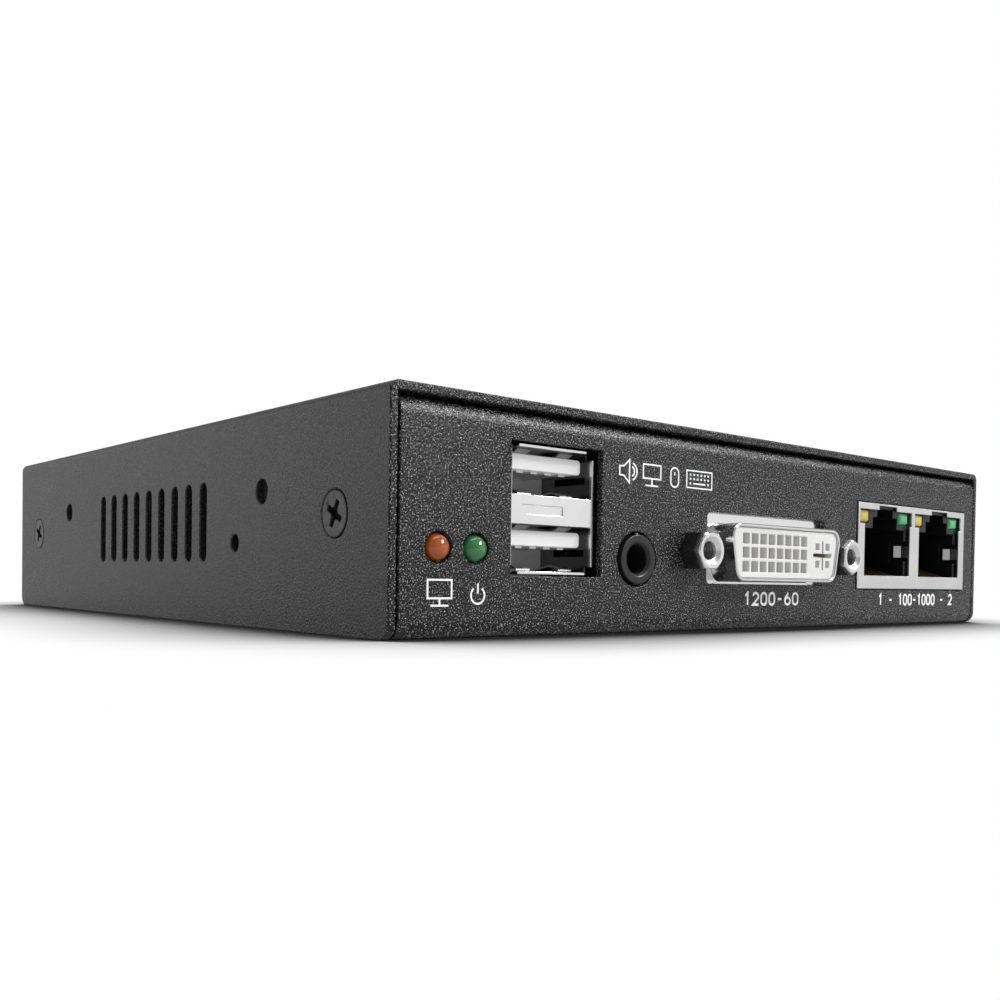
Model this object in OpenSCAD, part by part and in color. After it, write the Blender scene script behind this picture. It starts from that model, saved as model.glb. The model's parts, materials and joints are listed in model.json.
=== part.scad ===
// Network KVM module in a folded sheet case, with its connectors, lights and circuit board.
// X runs along the front from left to right, Y from front to rear, Z up.
// The origin is the middle of the resting face.

/* [Case] */
// Depth of the case, from front panel to rear panel
case_d = 130; // [126:1:170]
// Gap between the stacked USB shell and the flange over it
head_room = 2.55; // [2:0.05:11]
// Thickness of the folded sheet
sheet = 1; // [0.8:0.1:1.2]
// Outside radius of the cover's two long bends
cover_bend_r = 1.2; // [1.1:0.1:3]
// Outside radius of the tray's bends
tray_bend_r = 2; // [1.4:0.1:3]
// Gap between the tray and the cover that slides over it
nest_gap = 0.25; // [0.15:0.05:0.35]
// Radius of the lower corners of the cover's side walls
wall_corner_r = 1.8; // [0.5:0.1:3]
// Depth of the flange folded back from the top of each panel
flange_d = 7; // [5:0.5:12]
// Width of the slits beside each folded side tab
relief_w = 1; // [0.5:0.1:1.5]

/* [Side walls] */
// Distance from each end of the case to its cover screws
screw_inset = 11; // [10:0.5:14]
// Width of the tray's side tabs
tab_w = 14; // [10:0.5:16]
// Height of each tab's top edge over its screw
tab_rise = 6; // [4:0.5:7]
// Number of vent slots in each side wall
vent_count = 9; // [5:1:11]
// Length of the row of vent slots, as a share of the depth of the case
vent_row_share = 0.298; // [0.25:0.002:0.32]
// Width of a vent slot
vent_w = 2.1; // [1.5:0.1:2.8]
// Length of a vent slot
vent_len = 10.5; // [8:0.5:14]
// Distance from each end of the case to its bracket holes
bracket_inset = 28.5; // [26:0.5:32]
// Height of the bracket holes over the middle of the wall
bracket_rise = 3.3; // [2:0.1:5]
// Radius of a bracket hole in the sheet
bracket_hole_r = 1.5; // [1.4:0.05:1.8]
// Distance of the small locating hole from the middle, as a share of the depth of the case
locating_share = 0.224; // [0.21:0.002:0.24]
// Depth of the locating hole below the middle of the wall
locating_drop = 2.9; // [2:0.1:4]
// Radius of the locating hole
locating_r = 1.1; // [0.8:0.1:1.3]

/* [Fasteners] */
// Head radius of the countersunk cover screws
head_r = 2.62; // [2.5:0.02:2.9]
// Height of the straight rim of their heads
head_rim = 0.2; // [0.1:0.05:0.3]
// Shank radius of all machine screws, at the root of the thread
shank_r = 1.2; // [1.1:0.05:1.3]
// Radial gap between a shank and the bore it turns in
bore_gap = 0.05; // [0.03:0.01:0.1]
// Radial gap of clearance holes and countersinks
hole_gap = 0.05; // [0.03:0.01:0.15]
// Length of the countersunk screws
cover_screw_len = 4; // [3.6:0.1:4.4]
// Outer radius of the captive nuts
nut_r = 2.7; // [2.4:0.1:3]
// Height of the captive nuts
nut_h = 1.6; // [1.2:0.1:2]
// Width of each cross-recess wing
recess_w = 0.7; // [0.6:0.05:1]
// Span of the cross recess
recess_span = 3.2; // [2.4:0.1:3.6]
// Depth of the cross recess
recess_depth = 0.9; // [0.5:0.1:1.1]
// Head radius of the board screws
pan_head_r = 2.75; // [2.4:0.1:3.2]
// Head height of the board screws
pan_head_h = 1.9; // [1.4:0.1:2.4]

/* [Board] */
// Thickness of the circuit board
board_t = 1.6; // [1.2:0.1:2]
// Height of the standoffs under the board
standoff_h = 3.4; // [3:0.1:5]
// Width across the flats of the hexagonal standoffs
standoff_flats = 5.5; // [5:0.1:6.5]
// Gap from the board's sides to the tray's tabs
board_side_gap = 0.6; // [0.4:0.1:1]
// Gap from the board's ends to the panels
board_end_gap = 1; // [0.5:0.1:2]
// Distance from the board's side edges to its screw holes
board_hole_inset = 4.6; // [4:0.1:6]
// Radius of the screw holes in the board
board_hole_r = 1.6; // [1.5:0.05:1.9]

/* [USB pair] */
// Distance from the power light to the shell of the stacked pair
usb_spacing = 5.4; // [5:0.1:12]
// Height of the shell over the board
usb_lift = 1.2; // [1:0.1:2]
// Width of the shell
usb_w = 13.2; // [13:0.1:13.8]
// Depth of the shell, front to back
usb_depth = 17.1; // [15:0.1:20]
// Distance that the shell sits back from the panel face
usb_recess = 1; // [0.3:0.1:1.2]
// Sheet thickness of the shell
usb_wall = 0.35; // [0.3:0.05:0.4]
// Inside height of each socket
usb_port_h = 5.45; // [5.2:0.05:5.7]
// Height of the band between the sockets
usb_band_h = 3.4; // [3:0.1:4]
// Depth of each socket
usb_port_depth = 9.1; // [8.5:0.1:11]
// Width of a tongue
tongue_w = 11.1; // [10.6:0.1:11.4]
// Thickness of a tongue
tongue_t = 1.84; // [1.6:0.02:2]
// Gap over a tongue
tongue_gap = 0.65; // [0.5:0.05:1]
// Distance that a tongue sits back from the shell's mouth
tongue_recess = 1.3; // [0.6:0.1:2]
// Width of the pressed rectangle on the band
emboss_w = 6.4; // [4:0.1:8]
// Height of the pressed rectangle on the band
emboss_h = 1.1; // [0.8:0.1:1.6]
// Offset of the pressed rectangle from the middle, to the left
emboss_offset = 1.6; // [0:0.1:2]
// Length of the spring slot in each side of a socket
spring_slot_len = 5.6; // [4:0.1:6]
// Height of the spring slot
spring_slot_h = 0.8; // [0.6:0.1:1]

/* [Jacks] */
// Distance from the USB shell to the axis of the front jack
jack_spacing = 6.8; // [6:0.1:14]
// Height of the jack's axis over the board
jack_rise = 3.35; // [3.2:0.05:3.8]
// Outside radius of the jack's nose
jack_nose_r = 3.1; // [2.8:0.1:3.3]
// Radius of the jack's bore, for a 3.5 mm plug
jack_bore_r = 1.8; // [1.77:0.01:1.85]
// Distance that the nose stands out of the panel
jack_proud = 0.3; // [0.1:0.1:1.5]
// Depth of the jack's body behind the panel
jack_depth = 13; // [12:0.5:15]
// Width of the jack's body
jack_w = 8; // [7:0.1:9]

/* [DVI ports] */
// Distance from the axis of the front jack to the flange of the front port
dvi_spacing = 7.9; // [6.5:0.1:15]
// Height of the port's axis over the board
dvi_rise = 4.75; // [4.5:0.05:5.2]
// Distance between the two hex screws
dvi_screw_span = 33.3; // [33:0.1:34]
// Distance that the shell stands out of the panel
dvi_proud = 3.5; // [3:0.1:5]
// Width of the shell along its upper side
dvi_top_w = 25.2; // [24.6:0.1:25.6]
// Width of the shell along its lower side
dvi_bottom_w = 23.6; // [23:0.1:24.4]
// Height of the shell
dvi_h = 7.8; // [7.6:0.1:8.2]
// Corner radius of the shell
dvi_corner_r = 1.8; // [1.2:0.1:2.2]
// Thickness of the shell's metal
dvi_wall = 0.45; // [0.3:0.05:0.5]
// Spacing of the contacts
dvi_pitch = 1.905; // [1.85:0.005:1.95]
// Columns of contacts
dvi_columns = 8; // [6:1:8]
// Rows of contacts
dvi_rows = 3; // [2:1:3]
// Width of each square contact hole
dvi_hole_w = 1.45; // [1.2:0.05:1.5]
// Distance from the axis of each hex screw to the end of the flange
flange_end = 2.85; // [2.75:0.05:3.2]
// Height of the port's flange
flange_h = 12.4; // [11:0.1:13]
// Depth of the port's body behind its flange
dvi_depth = 11.5; // [10.5:0.5:13]
// Width across the flats of the hex screws
hex_flats = 4.75; // [4.5:0.05:5]
// Distance that the hex screws stand out of the panel
hex_proud = 3.3; // [3:0.1:4.5]

/* [Network pair] */
// Distance from the flange of the front port to the shield
net_spacing = 3.2; // [1:0.1:10]
// Distance from the shield to the right side of the case
net_margin = 4.8; // [4:0.1:12]
// Width of the bar at each end of the shield
net_end_bar = 1.9; // [1.6:0.1:2.4]
// Height of the shield
net_h = 13.7; // [13.5:0.1:14]
// Depth of the shield, front to back
net_depth = 25; // [22:0.5:28]
// Distance that the shield stands out of the panel
net_proud = 0.2; // [0:0.05:0.4]
// Sheet thickness of the shield
net_wall = 0.3; // [0.25:0.05:0.35]
// Width of the housing seen at each side of a socket, inside its window
socket_lip = 0.9; // [0.7:0.1:1.1]
// Width of the bar between the windows
net_divider = 3; // [2.8:0.05:3.2]
// Height of the bar under the windows
net_sill = 2.1; // [1.8:0.1:2.3]
// Height of the bar over the windows
net_lintel = 1; // [0.8:0.1:1.2]
// Inside width of a socket
socket_w = 12; // [11.8:0.1:12.2]
// Height of a socket's main space
socket_h = 7.65; // [7.4:0.05:7.9]
// Depth of a socket
socket_depth = 14; // [13:0.5:16]
// Distance that the housing sits back from the shield's face
housing_recess = 0.6; // [0.4:0.1:0.8]

/* [Lights] */
// Distance from the left of the case to the screen light
screen_light_inset = 6.25; // [6:0.05:12]
// Distance from the screen light to the power light
light_spacing = 5.05; // [4.8:0.05:9]
// Height of the lights over the board
light_rise = 3.9; // [3.6:0.1:4.4]
// Radius of a light's dome
light_r = 1.5; // [1.4:0.05:1.55]
// Distance that the domes stand out of the panel
light_proud = 0.9; // [0.4:0.1:1.4]
// Radius of a light's hole in the panel
light_hole_r = 1.75; // [1.65:0.05:1.9]
// Width of a light holder
holder_w = 4.4; // [4:0.1:4.8]
// Depth of a light holder
holder_d = 6; // [5:0.5:7]

/* [Rear panel] */
// Distance from the right of the case to the power inlet, seen from the front
inlet_inset = 14; // [12:0.5:16]
// Distance from the right of the case to the rear port
rear_dvi_inset = 46; // [45:0.5:48]
// Distance from the left of the case to the square socket
square_socket_inset = 41; // [40:0.5:43]
// Distance from the left of the case to the rear jack
rear_jack_inset = 26; // [25:0.5:28]
// Distance from the left of the case to the reset button
reset_inset = 14; // [13:0.5:16]
// Travel of the reset button
reset_travel = 0.8; // [0.5:0.1:1]

/* [Heat sink] */
// Width of the heat sink
sink_w = 30; // [24:1:36]
// Height of the heat sink
sink_h = 10; // [6:0.5:12]
// Number of fins
fin_count = 9; // [5:1:11]
// Thickness of a fin
fin_t = 1; // [0.8:0.1:1.4]
// Thickness of the heat sink's base
sink_base = 2.5; // [1.5:0.5:3]

/* [Hidden] */

// Overrun of every cut past the face it opens
over = 0.6;
// Facet count of round shapes
round_fn = 48;
// Angle of the cross recesses from upright
recess_turn = 27;

// Row of the front panel, added up from the left side of the case to its right side
power_light_inset = screen_light_inset + light_spacing;
usb_inset = power_light_inset + usb_spacing + usb_w / 2;
jack_inset = usb_inset + usb_w / 2 + jack_spacing;
flange_w = dvi_screw_span + 2 * flange_end;
dvi_inset = jack_inset + dvi_spacing + flange_w / 2;
net_window_w = socket_w + 2 * socket_lip;
net_w = 2 * (net_window_w + net_end_bar) + net_divider;
net_inset = dvi_inset + flange_w / 2 + net_spacing + net_w / 2;
case_w = net_inset + net_w / 2 + net_margin;

// Stack from the resting face to the top
board_top = sheet + standoff_h + board_t;
usb_h = 2 * usb_wall + 2 * usb_port_h + usb_band_h;
case_h = board_top + usb_lift + usb_h + head_room + 2 * sheet + nest_gap;

// Places of the panels and of the board
front_y = -case_d / 2;
rear_y = case_d / 2;
tray_w = case_w - 2 * (sheet + nest_gap);
tray_h = case_h - sheet - nest_gap;
board_w = tray_w - 2 * (sheet + board_side_gap);
board_d = case_d - 2 * (sheet + board_end_gap);
wall_mid = case_h / 2;
vent_pitch = vent_row_share * case_d / (vent_count - 1);
bore_r = shank_r + bore_gap;
countersink_r = head_r + head_rim + hole_gap;

// Places of the connectors along the panels
usb_x = -case_w / 2 + usb_inset;
jack_x = -case_w / 2 + jack_inset;
dvi_x = -case_w / 2 + dvi_inset;
net_x = -case_w / 2 + net_inset;
screen_light_x = -case_w / 2 + screen_light_inset;
power_light_x = -case_w / 2 + power_light_inset;
inlet_x = case_w / 2 - inlet_inset;
rear_dvi_x = case_w / 2 - rear_dvi_inset;
square_x = -case_w / 2 + square_socket_inset;
rear_jack_x = -case_w / 2 + rear_jack_inset;
reset_x = -case_w / 2 + reset_inset;

// Gap of a connector in its panel window
window_gap = 0.2;
// Gap between a moulded piece and the metal round it
fit_gap = 0.05;
// Thickness of every contact blade
blade_t = 0.25;

// Sizes of the USB pair
usb_inner_w = usb_w - 2 * usb_wall;
usb_contact_w = 1;
usb_contact_pitch = 2.2;
usb_emboss_depth = 0.15;
usb_leg_w = 1.6;
usb_slot_inset = 1.3;
usb_corner_w = 1.3;
usb_corner_h = 1;
usb_corner_depth = 1.1;
usb_slot_rise = 2.35;
usb_side_gap = 0.5;
usb_contact_count = 4;
tongue_corner_r = 0.5;

// Sizes of the jacks
jack_chamfer = 0.4;
jack_back_h = 3;
jack_gap = 0.37;
jack_slot_w = 1.9;
jack_slot_len = 3.8;
jack_slot_inset = 3;
jack_slot_step = 4.6;
jack_spring_t = 0.3;

// Sizes of the DVI ports
flange_t = 0.8;
flange_corner_r = 1;
dvi_face_recess = 0.3;
dvi_grid_shift = -2.8;
dvi_cross_shift = 8.5;
dvi_cross_hole_pitch = 2.54;
dvi_cross_hole_w = 1;
dvi_blade_w = 4.6;
dvi_blade_gap = 0.6;
dvi_window_w = 27.6;
dvi_window_rise = 5.35;
dvi_window_drop = 4.35;
dvi_window_r = 0.8;
dvi_body_w = 27;
dvi_body_rise = 4.3;
dvi_contact_w = 0.6;
dvi_contact_recess = 1.4;
stud_r = 1.6;
stud_gap = 0.1;
stud_tail = 3;
insert_r = 2.7;
insert_h = 2.2;
thread_depth = 5.5;

// Sizes of the network pair
net_pitch = net_window_w + net_divider;
net_light_w = 3;
net_light_h = 2.1;
net_light_offset = 0.4;
net_light_notch = 1;
net_light_proud = 0.25;
net_light_depth = 9;
net_light_rise = 10.6;
net_latch_gap_w = 5.4;
net_step_w = 7.3;
net_step_rise = 11.6;
net_latch_w = 4.7;
net_latch_rise = 12.9;
net_tab_h = 2;
net_tab_rise = 6.25;
net_tab_len = 1.6;
net_tab_tip = 1.4;
net_tab_lean = 35;
net_tab_notch_h = 3.4;
net_contact_w = 0.45;
net_contact_pitch = 1.02;
net_contact_count = 8;
net_contact_clear = 0.5;
net_contact_h = 2.2;

// Sizes of the lights
light_back = 5.2;
holder_top = 2.3;
lead_w = 0.5;
lead_spread = 1.27;

// Sizes of the rear connectors
square_w = 12;
square_h = 10.8;
square_depth = 16;
square_hole_w = 8.6;
square_hole_h = 7.9;
square_chamfer = 1.5;
square_tongue_w = 5.6;
square_tongue_h = 3.2;
square_hole_depth = 9;
square_recess = 0.3;
inlet_w = 9;
inlet_h = 11;
inlet_depth = 14;
inlet_rise = 6.5;
inlet_hole_r = 2.9;
inlet_hole_depth = 10;
inlet_pin_r = 1;
inlet_pin_inset = 1;
inlet_spring_w = 2;
inlet_slot_gap = 0.1;
reset_body_w = 7;
reset_body_h = 7;
reset_body_d = 6;
reset_rise = 3.6;
reset_button_r = 1.25;
reset_running_gap = 0.06;
reset_hole_r = 1.6;
reset_sink = 0.3;
reset_plate_w = 3.6;
reset_plate_t = 1;
reset_room = 0.3;

// Sizes of the parts on the board
chip_t = 1.2;
processor_w = 23;
processor_t = 2;
pad_t = 0.5;
memory_size = [9, 13];
network_chip_w = 9;
video_chip_w = 13;
flash_size = [8, 5];
crystal_size = [5, 3.2];
regulator_size = [6.5, 6];
coil_w = 7;
coil_h = 4;
coil_r = 2.6;
can_r = 3.15;
can_h = 7.7;
can_base_h = 0.8;

// Places of the parts on the board, as shares of its width and depth
memory_shares = [[-0.22, 0.06], [-0.22, -0.08]];
network_chip_shares = [[0.27, -0.13], [0.4, -0.13]];
video_chip_shares = [[0.02, -0.24], [0.14, 0.24]];
flash_shares = [-0.08, 0.19];
crystal_shares = [[0.33, -0.05], [0.19, 0.02], [-0.1, -0.2]];
coil_shares = [[0.4, 0.12], [0.4, 0.22], [-0.4, 0.06]];
can_shares = [[0.3, 0.12], [0.3, 0.2], [-0.4, 0.17], [-0.4, -0.06]];
regulator_shares = [[0.3, 0.03], [-0.32, 0.12]];
front_screw_share = -0.25;
rear_screw_share = 0.36;

// Colours as the photo shows them
coat = [0.15, 0.15, 0.16];
steel = [0.78, 0.78, 0.8];
gold = [0.85, 0.7, 0.35];
white_plastic = [0.93, 0.93, 0.92];
black_plastic = [0.06, 0.06, 0.06];
board_green = [0.05, 0.3, 0.15];
chip_black = [0.09, 0.09, 0.1];
light_orange = [0.8, 0.35, 0.1];
light_green = [0.2, 0.55, 0.3];
light_yellow = [0.8, 0.75, 0.3];

// Rectangle with rounded corners, centred
module rounded_rect(w, h, r) {
    square([w - 2 * r, h], center = true);
    square([w, h - 2 * r], center = true);
    for (sx = [-1, 1], sy = [-1, 1])
        translate([sx * (w / 2 - r), sy * (h / 2 - r)])
            circle(r, $fn = round_fn);
}

// Upright slot with round ends, centred
module slot(w, len) {
    square([w, len - w], center = true);
    for (s = [-1, 1])
        translate([0, s * (len - w) / 2])
            circle(w / 2, $fn = round_fn);
}

// Stands an outline drawn in X and Z upright and gives it a depth, from y0 to y1
module stand(y0, y1) {
    translate([0, y1, 0])
        rotate([90, 0, 0])
            linear_extrude(y1 - y0)
                children();
}

// Round bar along Y, from y0 to y1
module bar(r, y0, y1) {
    translate([0, y0, 0])
        rotate([-90, 0, 0])
            cylinder(h = y1 - y0, r = r, $fn = round_fn);
}

// Cone along Y, from y0 to y1
module taper(r0, r1, y0, y1) {
    translate([0, y0, 0])
        rotate([-90, 0, 0])
            cylinder(h = y1 - y0, r1 = r0, r2 = r1, $fn = round_fn);
}

// Block centred on X, from y0 to y1 and z0 to z1
module block(w, y0, y1, z0, z1) {
    translate([-w / 2, y0, z0])
        cube([w, y1 - y0, z1 - z0]);
}

// Places a connector on the front panel, its zero height on the board
module at_front(x) {
    translate([x, front_y, board_top])
        children();
}

// Places a connector on the rear panel, its zero height on the board
module at_rear(x) {
    translate([x, rear_y, board_top])
        rotate([0, 0, 180])
            children();
}

// Repeats a piece at the four screw places of the side walls, its axis pointing out
module at_cover_screws() {
    for (sx = [-1, 1], sy = [-1, 1])
        translate([0, sy * (case_d / 2 - screw_inset), wall_mid])
            rotate([0, 0, sx > 0 ? 90 : -90])
                translate([0, -case_w / 2, 0])
                    children();
}

// Repeats a piece at the four bracket holes, its axis pointing out
module at_bracket_holes() {
    for (sx = [-1, 1], sy = [-1, 1])
        translate([0, sy * (case_d / 2 - bracket_inset), wall_mid + bracket_rise])
            rotate([0, 0, sx > 0 ? 90 : -90])
                translate([0, -case_w / 2, 0])
                    children();
}

// Repeats a piece at the board's four screws
module at_board_screws() {
    for (sx = [-1, 1], share = [front_screw_share, rear_screw_share])
        translate([sx * (board_w / 2 - board_hole_inset), share * board_d, 0])
            children();
}

// Section of the tray, drawn in Y and Z
module tray_section() {
    difference() {
        translate([0, tray_h / 2])
            rounded_rect(case_d, tray_h, tray_bend_r);
        translate([0, tray_h / 2])
            rounded_rect(case_d - 2 * sheet, tray_h - 2 * sheet, tray_bend_r - sheet);
        translate([0, tray_h])
            square([case_d - 2 * flange_d, 2 * (sheet + over)], center = true);
    }
}

// Outline of a side tab's bend of radius r, filled inwards and up to top
module tab_outline(r, top) {
    inner_end = 2 * tray_bend_r + over;
    translate([-tray_bend_r, tray_bend_r])
        circle(r, $fn = round_fn);
    translate([-inner_end, tray_bend_r])
        square([inner_end - tray_bend_r + r, top]);
    translate([-inner_end, tray_bend_r - r])
        square([inner_end - tray_bend_r, top]);
}

// Section of one side tab, drawn in X and Z from the tray's side face inwards
module tab_section() {
    top = wall_mid + tab_rise;
    intersection() {
        translate([-tray_bend_r - over, 0])
            square([tray_bend_r + over, top]);
        difference() {
            tab_outline(tray_bend_r, top);
            tab_outline(tray_bend_r - sheet, top + over);
        }
    }
}

// Opening that shows a DVI port's shell, with the port's zero at its axis
module dvi_window() {
    translate([0, (dvi_window_rise - dvi_window_drop) / 2])
        rounded_rect(dvi_window_w, dvi_window_rise + dvi_window_drop, dvi_window_r);
    for (s = [-1, 1])
        translate([s * dvi_screw_span / 2, 0])
            circle(stud_r + stud_gap, $fn = round_fn);
}

// Bottom, front and rear panels folded from one sheet
module base_tray() {
    color(coat)
        difference() {
            union() {
                difference() {
                    rotate([90, 0, 90])
                        linear_extrude(tray_w, center = true)
                            tray_section();
                    for (sx = [-1, 1], sy = [-1, 1])
                        translate([sx * tray_w / 2, sy * (case_d / 2 - screw_inset), 0])
                            cube([2 * tray_bend_r, tab_w + 2 * relief_w, 2 * (sheet + over)], center = true);
                }
                for (sx = [0, 1], sy = [-1, 1])
                    mirror([sx, 0, 0])
                        translate([tray_w / 2, sy * (case_d / 2 - screw_inset), 0])
                            stand(-tab_w / 2, tab_w / 2)
                                tab_section();
            }
            at_cover_screws()
                bar(head_r - sheet, sheet, sheet + nest_gap + sheet + over);
            front_panel_openings();
            rear_panel_openings();
        }
}

// Openings of the front panel
module front_panel_openings() {
    at_front(usb_x)
        stand(-over, sheet + over)
            translate([0, usb_lift + usb_h / 2])
                square([usb_w + 2 * usb_side_gap, usb_h + 2 * window_gap], center = true);
    at_front(jack_x)
        stand(-over, sheet + over)
            translate([0, jack_rise])
                circle(jack_nose_r + jack_gap, $fn = round_fn);
    at_front(dvi_x)
        stand(-over, sheet + over)
            translate([0, dvi_rise])
                dvi_window();
    at_front(net_x)
        stand(-over, sheet + over)
            translate([0, net_h / 2])
                square([net_w + 2 * window_gap, net_h + 2 * window_gap], center = true);
    for (x = [screen_light_x, power_light_x])
        at_front(x)
            stand(-over, sheet + over)
                translate([0, light_rise])
                    circle(light_hole_r, $fn = round_fn);
}

// Openings of the rear panel
module rear_panel_openings() {
    at_rear(rear_dvi_x)
        stand(-over, sheet + over)
            translate([0, dvi_rise])
                dvi_window();
    at_rear(square_x)
        stand(-over, sheet + over)
            translate([0, square_h / 2])
                square([square_w + 2 * window_gap, square_h + 2 * window_gap], center = true);
    at_rear(rear_jack_x)
        stand(-over, sheet + over)
            translate([0, jack_rise])
                circle(jack_nose_r + jack_gap, $fn = round_fn);
    at_rear(inlet_x)
        stand(-over, sheet + over)
            translate([0, inlet_h / 2])
                square([inlet_w + 2 * window_gap, inlet_h + 2 * window_gap], center = true);
    at_rear(reset_x)
        stand(-over, sheet + over)
            translate([0, reset_rise])
                circle(reset_hole_r, $fn = round_fn);
}

// Outline of the cover's section, open side down, from low to h
module cover_outline(w, h, r, low) {
    translate([-w / 2, low])
        square([w, h - r - low]);
    translate([-(w / 2 - r), low])
        square([w - 2 * r, h - low]);
    for (s = [-1, 1])
        translate([s * (w / 2 - r), h - r])
            circle(r, $fn = round_fn);
}

// Top and both side walls folded from one sheet
module top_cover() {
    color(coat)
        difference() {
            stand(front_y, rear_y)
                difference() {
                    cover_outline(case_w, case_h, cover_bend_r, 0);
                    cover_outline(case_w - 2 * sheet, case_h - sheet, cover_bend_r - sheet, -over);
                }
            for (s = [0, 1])
                mirror([0, s, 0])
                    translate([0, front_y, 0])
                        wall_corner_cut();
            at_cover_screws()
                taper(countersink_r + over, countersink_r - sheet - over, -over, sheet + over);
            at_bracket_holes()
                bar(bracket_hole_r, -over, sheet + over);
            translate([0, -locating_share * case_d, wall_mid - locating_drop])
                rotate([0, 90, 0])
                    cylinder(h = case_w + 2 * over, r = locating_r, center = true, $fn = round_fn);
            for (i = [0 : vent_count - 1])
                translate([0, (i - (vent_count - 1) / 2) * vent_pitch, wall_mid])
                    rotate([90, 0, 90])
                        linear_extrude(case_w + 2 * over, center = true)
                            slot(vent_w, vent_len);
        }
}

// Cuts the lower front corner of both side walls to a radius
module wall_corner_cut() {
    difference() {
        translate([-case_w / 2 - over, -over, -over])
            cube([case_w + 2 * over, wall_corner_r + over, wall_corner_r + over]);
        translate([0, wall_corner_r, wall_corner_r])
            rotate([0, 90, 0])
                cylinder(h = case_w + 4 * over, r = wall_corner_r, center = true, $fn = round_fn);
    }
}

// Cross recess, cut into a head whose face is at zero: two wings and a round middle
module cross_recess() {
    for (turn = [recess_turn, recess_turn + 90])
        rotate([0, turn, 0])
            translate([-recess_span / 2, -over, -recess_w / 2])
                cube([recess_span, recess_depth + over, recess_w]);
    bar(recess_w, -over, recess_depth);
}

// Countersunk screws that hold the cover
module cover_screws() {
    color(coat)
        at_cover_screws()
            difference() {
                union() {
                    bar(head_r, 0, head_rim);
                    taper(head_r, shank_r, head_rim, head_rim + head_r - shank_r);
                    bar(shank_r, 0, cover_screw_len);
                }
                cross_recess();
            }
}

// Captive nuts behind the tray's side tabs
module tab_nuts() {
    color(steel)
        at_cover_screws()
            difference() {
                bar(nut_r, 2 * sheet + nest_gap, 2 * sheet + nest_gap + nut_h);
                bar(bore_r, sheet, 2 * sheet + nest_gap + nut_h + over);
            }
}

// Captive nuts behind the bracket holes
module bracket_nuts() {
    color(coat)
        at_bracket_holes()
            difference() {
                bar(nut_r, sheet, sheet + nut_h);
                bar(bore_r, 0, sheet + nut_h + over);
            }
}

// Circuit board with its four screw holes
module main_board() {
    color(board_green)
        difference() {
            translate([-board_w / 2, -board_d / 2, board_top - board_t])
                cube([board_w, board_d, board_t]);
            at_board_screws()
                translate([0, 0, board_top - board_t - over])
                    cylinder(h = board_t + 2 * over, r = board_hole_r, $fn = round_fn);
        }
}

// Hexagonal standoffs on the tray's bottom
module board_standoffs() {
    color(steel)
        at_board_screws()
            translate([0, 0, sheet])
                difference() {
                    cylinder(h = standoff_h, r = standoff_flats / 2 / cos(30), $fn = 6);
                    cylinder(h = standoff_h + over, r = bore_r, $fn = round_fn);
                }
}

// Pan head screws through the board into the standoffs
module board_screws() {
    color(steel)
        at_board_screws()
            translate([0, 0, board_top])
                rotate([-90, 0, 0])
                    difference() {
                        union() {
                            bar(pan_head_r, -pan_head_h, 0);
                            bar(shank_r, -pan_head_h, board_t + standoff_h / 2);
                        }
                        translate([0, -pan_head_h, 0])
                            cross_recess();
                    }
}

// Floor height of a socket in the stacked shell, 0 for the lower and 1 for the upper
function usb_floor(level) = usb_lift + usb_wall + level * (usb_port_h + usb_band_h);

// Folded shell of the stacked pair, with a closed band between the sockets
module usb_shell() {
    back = usb_recess + usb_port_depth;
    band = usb_lift + usb_wall + usb_port_h;
    color(steel)
        at_front(usb_x)
            difference() {
                union() {
                    block(usb_w, usb_recess, usb_recess + usb_depth, usb_lift, usb_lift + usb_h);
                    for (s = [-1, 1], y = [back - usb_leg_w, usb_recess + usb_depth - usb_leg_w])
                        translate([s * (usb_w - usb_wall) / 2, 0, 0])
                            block(usb_wall, y, y + usb_leg_w, 0, usb_lift + usb_wall);
                }
                for (level = [0, 1])
                    block(usb_inner_w, usb_recess - over, back + over,
                        usb_floor(level), usb_floor(level) + usb_port_h);
                block(usb_inner_w, usb_recess + usb_wall, back + over,
                    band + usb_wall, band + usb_band_h - usb_wall);
                block(usb_inner_w, back, usb_recess + usb_depth + over,
                    usb_lift - over, usb_lift + usb_h - usb_wall);
                translate([-emboss_offset, 0, 0])
                    block(emboss_w, usb_recess - over, usb_recess + usb_emboss_depth,
                        band + (usb_band_h - emboss_h) / 2, band + (usb_band_h + emboss_h) / 2);
                for (s = [-1, 1], z = [usb_lift - over, usb_lift + usb_h - usb_corner_h])
                    translate([s * (usb_w - usb_corner_w + over) / 2, 0, 0])
                        block(usb_corner_w + over, usb_recess - over, usb_recess + usb_corner_depth,
                            z, z + usb_corner_h + over);
                for (level = [0, 1])
                    block(usb_w + 2 * over, usb_recess + usb_slot_inset,
                        usb_recess + usb_slot_inset + spring_slot_len,
                        usb_floor(level) + usb_slot_rise - spring_slot_h / 2,
                        usb_floor(level) + usb_slot_rise + spring_slot_h / 2);
            }
}

// Underside of a tongue
function tongue_low(level) = usb_floor(level) + usb_port_h - tongue_gap - tongue_t;

// Place of a contact across a tongue
function usb_contact_x(i) = (i - (usb_contact_count - 1) / 2) * usb_contact_pitch;

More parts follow.
